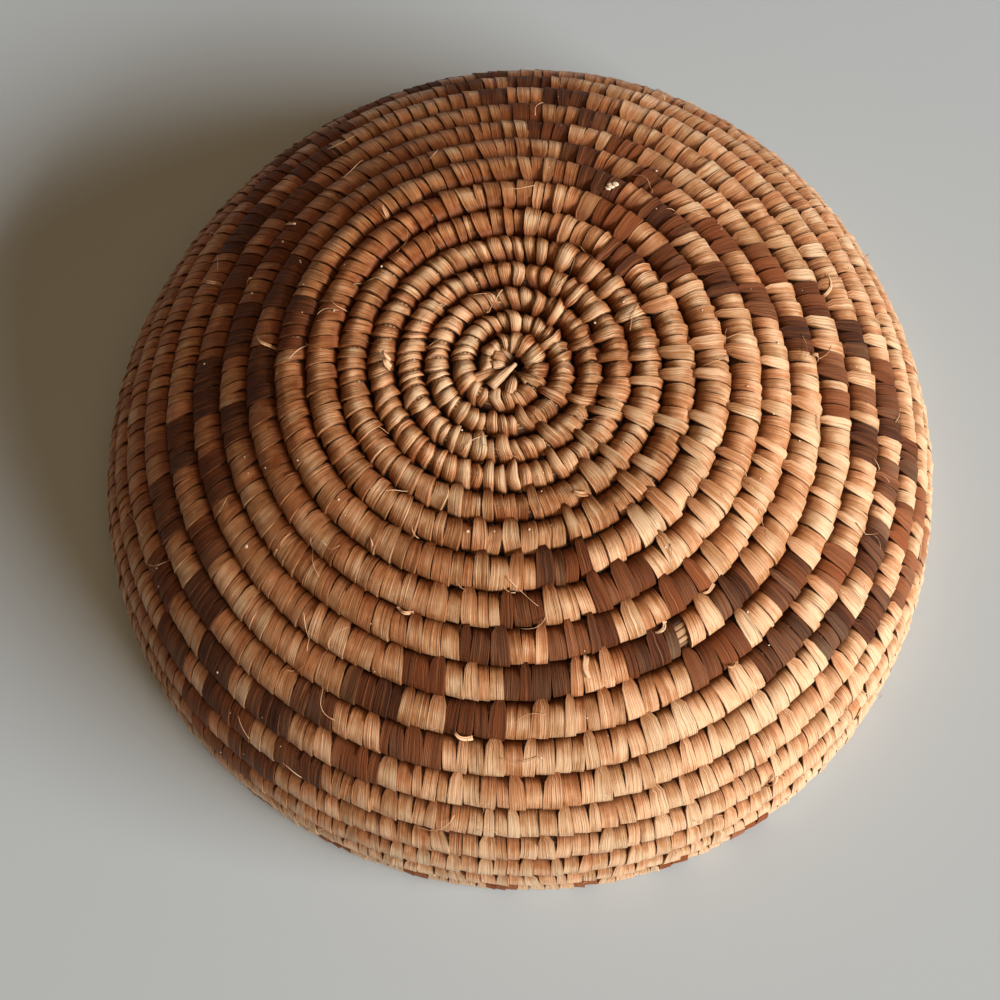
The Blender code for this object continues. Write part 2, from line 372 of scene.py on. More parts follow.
def smooth(share):
    """0 below 0, 1 above 1, and an S-curve between: three squares less two cubes."""
    share = np.clip(share, 0.0, 1.0)
    return share * share * (3 - 2 * share)


def mix(low, high, share):
    """From low to high, in a straight line."""
    return low + (high - low) * share


def rounded(angles, power):
    """Cosines and sines of a squarish circle: each is raised to two over the power, and keeps its sign."""
    across = np.cos(angles)
    up = np.sin(angles)
    return np.sign(across) * np.abs(across) ** (2 / power), np.sign(up) * np.abs(up) ** (2 / power)


def unit(vectors):
    """Vectors of length one in the same directions."""
    return vectors / np.linalg.norm(vectors, axis=-1, keepdims=True)


def ring_faces(count, around, across):
    """Corner numbers of the four-sided faces of many closed rings, each a grid that closes both ways."""
    ring = np.arange(around)[:, None]
    side = np.arange(across)[None, :]
    near = ring * across + side
    beside = ring * across + (side + 1) % across
    far_beside = (ring + 1) % around * across + (side + 1) % across
    far = (ring + 1) % around * across + side
    one = np.stack((near, beside, far_beside, far), axis=-1).reshape(-1, 4)
    starts = np.arange(count)[:, None, None] * around * across
    return (one[None] + starts).reshape(-1, 4)


def tube_faces(count, rings, around):
    """Corner numbers of the sides of many tubes, and of the two end faces of each."""
    ring = np.arange(rings - 1)[:, None]
    side = np.arange(around)[None, :]
    after = (side + 1) % around
    one = np.stack((ring * around + side, ring * around + after, (ring + 1) * around + after,
                    (ring + 1) * around + side), axis=-1).reshape(-1, 4)
    starts = np.arange(count) * rings * around
    sides = (one[None] + starts[:, None, None]).reshape(-1, 4)
    near = np.arange(around)[::-1] + starts[:, None]
    far = np.arange(around) + (rings - 1) * around + starts[:, None]
    return sides, np.concatenate((near, far))


def make_piece(name, points, quads, ends, attributes, material, replaced=(), crisp=None):
    """Puts points and faces into a mesh of its own, and lets it ride on the frame.

    Crisp gives each point's column in its strip: an edge between two points of one such column stays sharp.
    """
    mesh = bpy.data.meshes.new(name)
    points = np.asarray(points, np.float32).reshape(-1, 3)
    ends = [np.asarray(end) for end in ends]
    corners = np.concatenate([quads.ravel(), *ends]).astype(np.int32)
    sizes = np.concatenate((np.full(len(quads), 4), [len(end) for end in ends])).astype(np.int32)
    starts = np.concatenate(([0], np.cumsum(sizes)[:-1])).astype(np.int32)
    mesh.vertices.add(len(points))
    mesh.vertices.foreach_set("co", points.ravel())
    mesh.loops.add(len(corners))
    mesh.loops.foreach_set("vertex_index", corners)
    mesh.polygons.add(len(sizes))
    mesh.polygons.foreach_set("loop_start", starts)
    mesh.polygons.foreach_set("use_smooth", np.ones(len(sizes), bool))
    mesh.update(calc_edges=True)
    mesh.validate()
    if crisp is not None:
        pairs = np.empty(len(mesh.edges) * 2, np.int32)
        mesh.edges.foreach_get("vertices", pairs)
        columns = crisp[pairs.reshape(-1, 2)]
        sharp = (columns[:, 0] == columns[:, 1]) & (columns[:, 0] > 0)
        mesh.attributes.new("sharp_edge", "BOOLEAN", "EDGE").data.foreach_set("value", sharp)
    for key, values in attributes.items():
        values = np.asarray(values, np.float32)
        kind, field = ("FLOAT_VECTOR", "vector") if values.shape[-1] == 3 else ("FLOAT_COLOR", "color")
        mesh.attributes.new(key, kind, "POINT").data.foreach_set(field, values.ravel())
    mesh.materials.append(material)
    piece = bpy.data.objects.new(name, mesh)
    bpy.context.scene.collection.objects.link(piece)
    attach(piece, "root")
    if replaced:
        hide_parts(*replaced)


class Nodes:
    """Adds nodes to a material and joins them."""

    def __init__(self, name):
        self.material = bpy.data.materials.new(name)
        self.material.use_nodes = True
        self.tree = self.material.node_tree
        self.shader = self.tree.nodes["Principled BSDF"]

    def add(self, kind, inputs=None, **settings):
        """A node with its settings, its inputs joined to other nodes' outputs or set to values."""
        node = self.tree.nodes.new(kind)
        for key, value in settings.items():
            setattr(node, key, value)
        for key, value in (inputs or {}).items():
            self.join(value, node.inputs[key])
        return node

    def join(self, value, socket):
        """Joins an output to a socket, or sets the socket's own value."""
        if isinstance(value, bpy.types.NodeSocket):
            self.tree.links.new(value, socket)
        else:
            socket.default_value = value

    def sum(self, kind, first, second, clamp=False):
        """A Math node's output."""
        return self.add("ShaderNodeMath", {0: first, 1: second}, operation=kind, use_clamp=clamp).outputs[0]

    def stretch(self, vector, factors):
        """A vector with each of its parts multiplied."""
        node = self.add("ShaderNodeVectorMath", {0: vector, 1: factors}, operation="MULTIPLY")
        return node.outputs[0]

    def noise(self, vector, scale, detail, roughness=0.5):
        """A Noise texture's value."""
        inputs = {"Vector": vector, "Scale": scale, "Detail": detail, "Roughness": roughness}
        return self.add("ShaderNodeTexNoise", inputs).outputs["Fac"]

    def band(self, value, low, high, to_low=0.0, to_high=1.0):
        """A value moved from one range into another, and held inside it."""
        inputs = {"Value": value, "From Min": low, "From Max": high, "To Min": to_low, "To Max": to_high}
        return self.add("ShaderNodeMapRange", inputs, clamp=True).outputs[0]

    def blend(self, share, first, second, kind="MIX"):
        """Two colours blended by a share."""
        node = self.add("ShaderNodeMix", data_type="RGBA", blend_type=kind)
        for index, value in ((0, share), (6, first), (7, second)):
            self.join(value, node.inputs[index])
        return node.outputs[2]

    def attribute(self, name):
        """A vector that the piece carries."""
        return self.add("ShaderNodeAttribute", attribute_name=name).outputs["Vector"]

    def parts(self, name):
        """The three parts of a vector that the piece carries."""
        return self.add("ShaderNodeSeparateXYZ", {0: self.attribute(name)}).outputs

    def away(self, value, level):
        """How far a value is from a level."""
        return self.sum("ABSOLUTE", self.sum("SUBTRACT", value, level), 0.0)

    def bump(self, height, strength, depth):
        """Gives the surface a relief."""
        node = self.add("ShaderNodeBump", {"Strength": strength, "Distance": depth, "Height": height})
        self.join(node.outputs[0], self.shader.inputs["Normal"])


def rgba(values):
    """A colour with full cover."""
    return (*values, 1.0)


class LeafLook:
    """The node tree of dry split leaf: grooves and folds along each strip, its tone and dye, and painted
    shade.

    A stretch gives how finely a noise is drawn along the strip, across it and from strip to strip. Of four
    numbers, two are the ends of a value's range and two are what it becomes there. Of two numbers, the ends
    become 0 and 1.
    """

    VEIN_STRETCH = (0.045, 1.55, 1.0)
    FIBRE_STRETCH = (0.05, 2.9, 1.0)
    BLOTCH_STRETCH = (0.22, 0.35, 1.0)
    FOLD_STRETCH = (0.025, 0.95, 1.0)
    FOLD_LEVEL = 0.5
    FOLD_WIDTH = (0.004, 0.030, 1.0, 0.0)
    VEIN_TONE = (0.28, 0.72, -0.13, 0.13)
    STREAK_TONE = (0.34, 0.66, -0.30, 0.30)
    STREAK_STRENGTH = (0.0, 1.0, 0.40, 1.25)
    # Painted light on each wrap: the crown paler, the flanks and the inner side darker.
    CROWN_SHIFT = 0.1
    CROWN_LIGHT_FLANK_SHADE = (0.15, 0.95, 0.40, -0.54)
    PAINTED_FLANK_STRENGTH = (0.2, 0.8)
    INNER_SHADE = (-1.0, 0.0, -0.42, 0.12)
    BLOTCH_TONE = (0.35, 0.65, -0.12, 0.12)
    GREENISH = (0.98, 1.0, 0.96, 1.0)
    REDDISH = (1.08, 0.90, 0.80, 1.0)
    TINT_SHARE = 0.8
    DYE_STREAKS = (0.35, 0.65, -0.20, 0.36)
    WORN_VEINS = (0.52, 0.74)
    WORN_FIBRES = (0.42, 0.62)
    WORN_EDGE = (0.80, 0.92, 0.0, 0.35)
    WORN_SHARE = 0.26
    CREASE_STRENGTH = (0.0, 1.0, 0.10, 0.78)
    # Painted shade along the edges of each wrap, stronger at its inner end.
    SHADED_EDGE = (0.80, 0.94)
    SHADED_INWARD = (-0.9, 0.9, 1.0, 0.55)
    SHADED_BLOTCHES = (0.40, 0.56, 0.45, 1.0)
    ROUGHNESS = (0.3, 0.7, 0.34, 0.54)
    DYED_ROUGHNESS = (0.0, 1.0, 0.0, 0.28)
    VEIN_RELIEF = 0.6
    FIBRE_RELIEF = 0.9
    CREASE_RELIEF = 0.7
    BUMP_STRENGTH = 0.9
    BUMP_DEPTH = 0.40 * MILLIMETRE
    SHINE = 0.16

    def __init__(self, colours):
        self.colours = colours
        nodes = Nodes("dry_leaf")
        self.nodes = nodes
        strip = nodes.add("ShaderNodeAttribute", attribute_name="strip_tone_and_shade").outputs
        colours_of_strip = nodes.add("ShaderNodeSeparateColor", {0: strip["Color"]}).outputs
        self.tone, self.dyed, self.redness = colours_of_strip
        # The fourth channel is painted shade, for the grooves and the hole in the eye.
        self.painted_shade = strip["Alpha"]
        self.sideways, self.across, self.crumple = nodes.parts("strip_side")
        self.edge = nodes.sum("ABSOLUTE", self.sideways, 0.0)
        place = nodes.attribute("strip_place")
        self.veins = nodes.noise(nodes.stretch(place, self.VEIN_STRETCH), 1.0, 2.0, 0.6)
        self.fibres = nodes.noise(nodes.stretch(place, self.FIBRE_STRETCH), 1.0, 2.0, 0.7)
        self.blotches = nodes.noise(nodes.stretch(place, self.BLOTCH_STRETCH), 1.0, 3.0)
        folds = nodes.noise(nodes.stretch(place, self.FOLD_STRETCH), 1.0, 0.0)
        folds = nodes.band(nodes.away(folds, self.FOLD_LEVEL), *self.FOLD_WIDTH)
        self.creases = nodes.sum("MULTIPLY", folds, nodes.band(self.crumple, *self.CREASE_STRENGTH))

    def shade(self):
        """How pale the leaf is: marks on its tone, painted highlight on the crown, painted shade towards the
        grooves.
        """
        nodes = self.nodes
        shade = nodes.sum("ADD", self.tone, nodes.band(self.veins, *self.VEIN_TONE))
        strength = nodes.band(self.crumple, *self.STREAK_STRENGTH)
        streaks = nodes.sum("MULTIPLY", nodes.band(self.fibres, *self.STREAK_TONE), strength)
        shade = nodes.sum("ADD", shade, streaks)
        # Painted highlight on the crown and painted shade down the flanks and on the inner side.
        from_crown = nodes.sum("ABSOLUTE", nodes.sum("ADD", self.across, self.CROWN_SHIFT), 0.0)
        strength = nodes.band(self.crumple, *self.PAINTED_FLANK_STRENGTH)
        painted_flank_shading = nodes.sum("MULTIPLY", nodes.band(from_crown, *self.CROWN_LIGHT_FLANK_SHADE), strength)
        painted_flank_shading = nodes.sum("ADD", painted_flank_shading, nodes.band(self.across, *self.INNER_SHADE))
        shade = nodes.sum("ADD", shade, painted_flank_shading)
        return nodes.sum("ADD", shade, nodes.band(self.blotches, *self.BLOTCH_TONE))

    def undyed(self):
        """Brown, tan and pale leaf by its shade, a little greener or redder from strip to strip."""
        nodes, shade = self.nodes, self.shade()
        lower = nodes.blend(nodes.band(shade, 0.0, 0.5), rgba(self.colours.brown), rgba(self.colours.tan))
        leaf = nodes.blend(nodes.band(shade, 0.5, 1.0), lower, rgba(self.colours.pale))
        tint = nodes.blend(self.redness, self.GREENISH, self.REDDISH)
        return nodes.blend(self.TINT_SHARE, leaf, tint, "MULTIPLY")

    def dye(self):
        """Dark to reddish dye in streaks, a little worn along the veins and at the edges."""
        nodes = self.nodes
        red = nodes.sum("ADD", self.redness, nodes.band(self.fibres, *self.DYE_STREAKS), clamp=True)
        dye = nodes.blend(red, rgba(self.colours.dark_dye), rgba(self.colours.red_dye))
        along_veins = nodes.band(self.veins, *self.WORN_VEINS)
        worn = nodes.sum("MULTIPLY", along_veins, nodes.band(self.fibres, *self.WORN_FIBRES))
        worn = nodes.sum("ADD", worn, nodes.band(self.edge, *self.WORN_EDGE), clamp=True)
        return nodes.blend(nodes.sum("MULTIPLY", worn, self.WORN_SHARE), dye, rgba(self.colours.tan))

    def colour(self):
        """Leaf and dye, with painted shade in the creases, along the edges and in the grooves."""
        nodes, in_painted_shade = self.nodes, rgba(self.colours.groove)
        leaf = nodes.blend(self.dyed, self.undyed(), self.dye())
        # Painted shade along the folds: the creases take the groove colour.
        leaf = nodes.blend(self.creases, leaf, in_painted_shade)
        # Painted shade between neighbouring wraps, along their edges.
        inward = nodes.band(self.across, *self.SHADED_INWARD)
        edges = nodes.sum("MULTIPLY", nodes.band(self.edge, *self.SHADED_EDGE), inward)
        edges = nodes.sum("MULTIPLY", edges, nodes.band(self.blotches, *self.SHADED_BLOTCHES))
        # Painted shade in the grooves and round the hole in the eye.
        return nodes.blend(nodes.sum("MAXIMUM", self.painted_shade, edges), leaf, in_painted_shade)

    def relief(self):
        """Height of the veins and fibres, less the creases."""
        nodes = self.nodes
        veins = nodes.sum("MULTIPLY", self.veins, self.VEIN_RELIEF)
        relief = nodes.sum("ADD", veins, nodes.sum("MULTIPLY", self.fibres, self.FIBRE_RELIEF))
        return nodes.sum("SUBTRACT", relief, nodes.sum("MULTIPLY", self.creases, self.CREASE_RELIEF))


def leaf_material(colours):
    """Dry split leaf, dyed or not."""
    look = LeafLook(colours)
    nodes = look.nodes
    nodes.join(look.colour(), nodes.shader.inputs["Base Color"])
    rough = nodes.band(look.fibres, *look.ROUGHNESS)
    rough = nodes.sum("ADD", rough, nodes.band(look.dyed, *look.DYED_ROUGHNESS))
    nodes.join(rough, nodes.shader.inputs["Roughness"])
    nodes.bump(look.relief(), look.BUMP_STRENGTH, look.BUMP_DEPTH)
    nodes.shader.inputs["Specular IOR Level"].default_value = look.SHINE
    return nodes.material


def reed_material(colours):
    """Dry reeds side by side: streaks along each, and painted shade: dark lines where they meet, dark
    flanks.
    """
    stretch = (0.10, 3.0, 1.0)
    streak_shade = (0.3, 0.7)
    seam_edges = (0.34, 0.45)
    flank_edges = (0.45, 0.75)
    roughness = 0.72
    bump_strength = 0.7
    bump_depth = 0.3 * MILLIMETRE
    nodes = Nodes("bundle_of_reeds")
    _, reed, across = nodes.parts("strip_place")
    streaks = nodes.noise(nodes.stretch(nodes.attribute("strip_place"), stretch), 1.0, 3.0, 0.6)
    # Painted shade: the seams between reeds and the flanks of the bundle take the groove colour.
    seam = nodes.band(nodes.away(nodes.sum("FRACT", reed, 0.0), 0.5), *seam_edges)
    shade = nodes.blend(nodes.band(streaks, *streak_shade), rgba(colours.tan), rgba(colours.reed))
    painted_flank_shading = nodes.band(nodes.sum("ABSOLUTE", across, 0.0), *flank_edges)
    shade = nodes.blend(nodes.sum("MAXIMUM", seam, painted_flank_shading), shade, rgba(colours.groove))
    nodes.join(shade, nodes.shader.inputs["Base Color"])
    nodes.shader.inputs["Roughness"].default_value = roughness
    nodes.bump(nodes.sum("SUBTRACT", streaks, seam), bump_strength, bump_depth)
    return nodes.material


def fleck_material(colours):
    """Pale dry flecks, each a little different in shade."""
    grains_per_metre = 900.0
    shades = (0.35, 0.65)
    roughness = (0.3, 0.7, 0.35, 0.6)
    nodes = Nodes("pale_fleck")
    place = nodes.add("ShaderNodeTexCoord").outputs["Object"]
    grain = nodes.noise(place, grains_per_metre, 2.0)
    shade = nodes.blend(nodes.band(grain, *shades), rgba(colours.pale), rgba(colours.fleck))
    nodes.join(shade, nodes.shader.inputs["Base Color"])
    nodes.join(nodes.band(grain, *roughness), nodes.shader.inputs["Roughness"])
    return nodes.material


def shared_material(make, name, colours):
    """The material of that name, made the first time it is asked for."""
    return bpy.data.materials.get(name) or make(colours)


def zigzag_blocks(coil, pattern, clockwise, turn, number):
    """Which block of the pattern each place along one round lies in, or -1 where the leaf isn't dyed.

    The inner zigzag line steps out by one block with each round: from a corner outwards, its offset grows by
    a block's length over the radius of each round it crosses. The outer line repeats it at the same angles,
    some rounds further out. A place is dyed where it lies within half a block of the offset, on either side
    of the corner.
    """
    block = np.full(len(clockwise), -1)
    corners = zip(pattern.peak_azimuths, pattern.peak_rounds, pattern.block_lengths)
    for index, (peak, first, block_length) in enumerate(corners):
        signed = (clockwise - peak + math.pi) % FULL_TURN - math.pi
        for line in (0, 1):
            rounds_out = line * pattern.line_spacing
            if not first <= number - rounds_out <= pattern.last_round:
                continue
            crossed = np.arange(first + 1, number - rounds_out + 1) + coil.form.first_round_turn
            offset = np.sum(block_length / coil.wall_line(coil.middle(crossed - 0.5))[0])
            half_block = block_length / 2 / coil.wall_line(coil.middle(turn - rounds_out))[0]
            inside = np.abs(np.abs(signed) - offset) < half_block
            block = np.where(inside, 4 * index + 2 * line + (signed > 0), block)
    return block


def rim_blocks(coil, pattern, lengths):
    """Which tick of the rim each place lies in, or -1 between them: a tick's length out of each spacing."""
    seen = coil.length_at(coil.rim_turn - 1 + pattern.tick_azimuth / FULL_TURN) - pattern.tick_length / 2
    tick = np.floor((lengths - seen) / pattern.tick_spacing).astype(int)
    return np.where((lengths - seen) % pattern.tick_spacing < pattern.tick_length, tick, -1)


# How many wraps fit in the eye, as a share of what their width alone would let in.
SHARE_IN_EYE = 0.85


def lay_out_wraps(coil, strips, number):
    """Middles and half widths of a round's wraps along the coil, and the groups that end in a stitch.

    In the eye, every wrap is a stitch, and fewer fit.
    """
    chance = np.random.default_rng(strips.seed * 1000 + number)
    all_stitched = number == 0
    first, last = coil.round_limits(number)
    start, end = coil.length_at(first), coil.length_at(last)
    share = float(coil.wall_share((first + last) / 2))
    closeness = SHARE_IN_EYE if all_stitched else 1
    count = round((end - start) / mix(*strips.widths, share) * closeness)
    widths = 1 + strips.unevenness * chance.uniform(-1, 1, count)
    edges = start + (end - start) * np.concatenate(([0.0], np.cumsum(widths))) / widths.sum()
    group_sizes = chance.integers(strips.group_least, strips.group_most + 1, count)
    if all_stitched:
        group_sizes = np.ones(count, int)
    group_ends = np.cumsum(group_sizes)
    group = np.searchsorted(group_ends, np.arange(count), side="right")
    group_low = np.full(group[-1] + 1, np.inf)
    group_high = np.full(group[-1] + 1, -np.inf)
    np.minimum.at(group_low, group, edges[:-1])
    np.maximum.at(group_high, group, edges[1:])
    return chance, {
        "middle": (edges[1:] + edges[:-1]) / 2,
        "half": np.diff(edges) / 2,
        "stitch": np.isin(np.arange(count), group_ends - 1),
        "group_middle": ((group_low + group_high) / 2)[group],
        "group_half": ((group_high - group_low) / 2)[group],
    }


# Corners of a wrap round the coil's section, closest where a stitch narrows to its tip.
SECTION_ANGLES = np.radians((0, 12, 30, 56, 84, 110, 132, 147, 162, 180, 214, 252, 290, 326))
# Corners across a wrap, numbered: both edges are 0. The shoulders are crisp where the wraps lie this flat.
COLUMN_NUMBERS = (0, 1, 2, 0)
CRISP_FROM = 0.6


class Draws:
    """Random numbers for the wraps of one round, one of each kind for every wrap."""

    SLANT_SPAN = 9

    def __init__(self, chance, count):
        column = (count, 1, 1)
        self.outer_end = chance.uniform(-0.6, 1.2, column)
        self.inner_end = chance.uniform(-1.6, 0.4, column)
        self.overlap = chance.uniform(0.2, 1.8, column)
        self.rise = chance.uniform(-1, 1, column)
        self.slow_slant = smooth_walk(chance, count, self.SLANT_SPAN).reshape(column)
        self.slant = chance.uniform(-1, 1, column)
        self.width = chance.uniform(1.0, 1.07, column)
        self.sway = chance.uniform(-0.5, 0.5, column)
        self.curl = chance.uniform(-1, 1, column)
        self.seed = chance.uniform(0, SEEDS, column)
        self.crumple = chance.uniform(-1, 1, column)


class Sewing:
    """The wraps of one round, in arrays that run from wrap to wrap, round the coil and across the strip.

    Each wrap is a closed ring: a squarish circle round the coil with a flat face, both edges let down into
    the coil. One edge stands over the other, where the wraps overlap. A stitch's inner half is longer and
    squarer, so that it bridges the groove and goes into the round before. On the base, the wraps of a group
    bulge and draw together at the grooves. Of two values, the first is for the eye, and they are mixed by
    how flat the wraps lie.
    """

    STITCH_POWER = 3.5
    NEAR_SOFTNESS = 0.9
    SHOULDER = (0.70, 0.88)
    TIP_START = 0.55
    TIP_LENGTH = 0.4
    TIP_SINK = 0.5 * MILLIMETRE
    START_ROUGHNESS = 2.6
    START_PLUNGE = 2.6 * MILLIMETRE
    PLUNGE_START = 0.30
    PLUNGE_LENGTH = 0.6
    BULGE_LOSS = 0.75
    BULGE_LEVEL = 0.4
    NARROWING_START = 0.20
    NARROWING_LENGTH = 0.66
    STITCH_WIDTH = 1.10
    TAPER = (0.22, 0.06)
    TAPER_START = 0.3
    TAPER_OF_WRAP = 0.4
    SLOW_SLANT = 0.6
    QUICK_SLANT = 0.5
    CURL_BIAS = 0.35
    CURL_SHARE = (1.0, 0.12)
    CURL_LEVEL = 0.4
    EASE = 0.1 * MILLIMETRE
    RIM_FADE = 0.08
    ALONG_PER_DEGREE = 0.1
    CRUMPLE = (0.82, 0.16)
    CRUMPLE_SPREAD = 0.22
    CRUMPLE_OF_STITCH = 0.12
    # Painted shade towards the grooves, at the outer end and round the hole in the eye.
    SHADE_FROM = 0.62
    SHADE_OVER = 0.42
    SHADE_OF_STITCH = 0.25
    SHADE_OF_WRAP = 0.85
    EYE_SHADE_FROM = 0.40
    EYE_SHADE_OVER = 0.5
    OUTER_SHADE_FROM = 0.88
    OUTER_SHADE_OVER = 0.16
    OUTER_SHADE = 0.75

    def __init__(self, coil, strips, wraps, chance):
        self.coil = coil
        self.strips = strips
        column = (len(wraps["middle"]), 1, 1)
        self.draws = Draws(chance, column[0])
        self.middle = wraps["middle"].reshape(column)
        self.half = wraps["half"].reshape(column) * self.draws.width
        self.stitch = wraps["stitch"].reshape(column)
        self.from_group = self.middle - wraps["group_middle"].reshape(column)
        self.group_half = wraps["group_half"].reshape(column)
        self.turn = coil.turn_at(self.middle)
        self.in_start = self.turn < coil.form.first_round_turn
        self.flat = coil.flat_share(self.turn)
        toward_near = np.cos(coil.azimuth(self.turn) + strips.reach_azimuth)
        self.nearness = smooth(0.5 + toward_near / self.NEAR_SOFTNESS)
        self.boldness = 1 - 2 * strips.reach_spread * (1 - self.nearness)
        self.shape_ring()
        shoulder = mix(*self.SHOULDER, self.flat)
        edge = np.ones_like(shoulder)
        self.sides = np.concatenate((-edge, -shoulder, shoulder, edge), axis=-1)

    def shape_ring(self):
        """Each corner's place across the coil and over it, in half widths.

        The spot is the place across without a stitch's reach: from -1 at the inner end to 1 at the outer.
        """
        angles = SECTION_ANGLES.reshape(1, -1, 1)
        inner = np.cos(angles) < -TINY
        bridging = self.stitch & inner
        power = np.where(bridging, self.STITCH_POWER, self.coil.section_power(self.turn))
        across, self.up = rounded(angles, power)
        longer = 1 + self.boldness * self.strips.stitch_reach / self.coil.half_width(self.turn)
        reach = np.where(bridging, longer, 1.0)
        outer_end = 1 + self.strips.ragged * self.draws.outer_end
        inner_end = 1 + self.strips.ragged * self.draws.inner_end
        self.across = across * np.where(inner, reach * inner_end, outer_end)
        self.spot = self.across / reach

    def rise(self):
        """How far each corner stands over the coil.

        The sum of the wrap's own height, its overlap, the lift of a stitch and the bulge of its group, less
        the drop of the edges and of a stitch's tip. In the eye, the inner ends plunge into the hole.
        """
        strips, flat = self.strips, self.flat
        tip = np.where(self.stitch, smooth((-self.spot - self.TIP_START) / self.TIP_LENGTH), 0.0)
        face = mix(*strips.crowns, flat) + tip * self.TIP_SINK
        drop = np.where(np.abs(self.sides) == 1, strips.edge_depth, face)
        overlap = mix(*strips.overlaps, flat) * self.draws.overlap
        rise = mix(*strips.rises, flat) * self.draws.rise
        rise = rise * np.where(self.in_start, self.START_ROUGHNESS, 1.0)
        rise = rise + np.where(self.stitch, self.boldness * strips.stitch_lift, 0) - overlap * self.sides
        in_group = self.from_group / self.group_half
        bulge = (1 - self.BULGE_LOSS * flat) * strips.bulge * (self.BULGE_LEVEL - in_group ** 2)
        plunge = smooth((-self.spot - self.PLUNGE_START) / self.PLUNGE_LENGTH) * self.START_PLUNGE
        return rise + bulge - drop - np.where(self.in_start, plunge, 0.0)

    def along_coil(self):
        """Length of coil at each corner.

        Half the strip's width out to either side of the middle, drawn in with the group, leaning, swayed and
        curled. A stitch narrows to its tip as an ellipse does, and every wrap tapers at its outer end.
        """
        strips, flat, draws = self.strips, self.flat, self.draws
        toward_tip = np.clip((-self.spot - self.NARROWING_START) / self.NARROWING_LENGTH, 0, 1)
        tip_width = mix(strips.tip_eye, strips.tip_wall, flat)
        petal = mix(1.0, np.sqrt(1 - toward_tip ** 2 * (1 - tip_width ** 2)), self.boldness)
        taper = smooth((self.across - self.TAPER_START) / (1 - self.TAPER_START)) * mix(*self.TAPER, flat)
        taper = 1 - taper * np.where(self.stitch, 1.0, self.TAPER_OF_WRAP)
        profile = np.where(self.stitch, self.STITCH_WIDTH * petal, 1.0) * taper
        drawn_in = self.from_group * ((1 - flat) * strips.pinch * smooth(np.abs(self.across)))
        on_wall = mix(strips.slant_far, strips.slant_near, self.nearness)
        slant = mix(strips.slant_eye, on_wall, self.coil.wall_share(self.turn))
        spread = self.SLOW_SLANT * draws.slow_slant + self.QUICK_SLANT * draws.slant
        slant = slant + strips.slant_spread * spread
        lean = np.tan(slant) * self.coil.half_width(self.turn) * self.across
        sway = np.where(self.stitch, draws.sway * (1 - petal) * self.half, 0.0)
        curl = strips.curl * (self.CURL_BIAS + draws.curl) * mix(*self.CURL_SHARE, flat)
        curl = curl * self.half * (np.clip(self.spot, -1, 1) ** 2 - self.CURL_LEVEL)
        return self.middle + self.sides * self.half * profile - drawn_in + lean + sway + curl

    def points(self):
        """Corners of every wrap in the frame."""
        coil, strips, rise = self.coil, self.strips, self.rise()
        turn = coil.turn_at(self.along_coil())
        half_width = coil.half_width(turn) + self.EASE + rise
        in_rim = smooth((turn - coil.rim_turn + 1) / self.RIM_FADE)
        half_thickness = coil.half_thickness(turn) + strips.fullness + strips.rim_fullness * in_rim + rise
        distance = np.minimum(coil.middle(turn) + self.across * half_width, coil.rim_distance)
        height = self.up * half_thickness + strips.shingle * np.clip(self.across, -1, 1)
        return coil.place(distance, height, coil.azimuth(turn))

    def place_on_strip(self):
        """Each corner's place along its strip and sideways on it, in millimetres, and the strip's seed."""
        along = np.degrees(SECTION_ANGLES).reshape(1, -1, 1) * self.ALONG_PER_DEGREE
        sideways = self.sides * self.half / MILLIMETRE
        return np.stack(np.broadcast_arrays(along, sideways, self.draws.seed), axis=-1)

    def side_of_strip(self):
        """Each corner's place across the strip and across the coil, and how crumpled its strip is."""
        crumple = mix(*self.CRUMPLE, self.flat) + self.CRUMPLE_SPREAD * self.draws.crumple
        crumple = crumple + np.where(self.stitch, self.CRUMPLE_OF_STITCH, 0.0)
        return np.stack(np.broadcast_arrays(self.sides, self.spot, np.clip(crumple, 0, 1)), axis=-1)

    def painted_shade(self):
        """How much painted shade each corner gets: towards both grooves, less on a stitch, and half round in
        the eye.
        """
        inward = smooth((-self.spot - self.SHADE_FROM) / self.SHADE_OVER)
        inward = inward * np.where(self.stitch, self.SHADE_OF_STITCH, self.SHADE_OF_WRAP)
        in_eye = smooth((-self.spot - self.EYE_SHADE_FROM) / self.EYE_SHADE_OVER)
        outward = smooth((self.spot - self.OUTER_SHADE_FROM) / self.OUTER_SHADE_OVER) * self.OUTER_SHADE
        return np.maximum(np.where(self.in_start, in_eye, inward), outward) + 0 * self.sides


def smooth_walk(chance, count, span):
    """A slow random rise and fall between -1 and 1, with a new aim every span places."""
    aims = chance.uniform(-1, 1, count // span + 2)
    return np.interp(np.arange(count) / span, np.arange(len(aims)), aims)


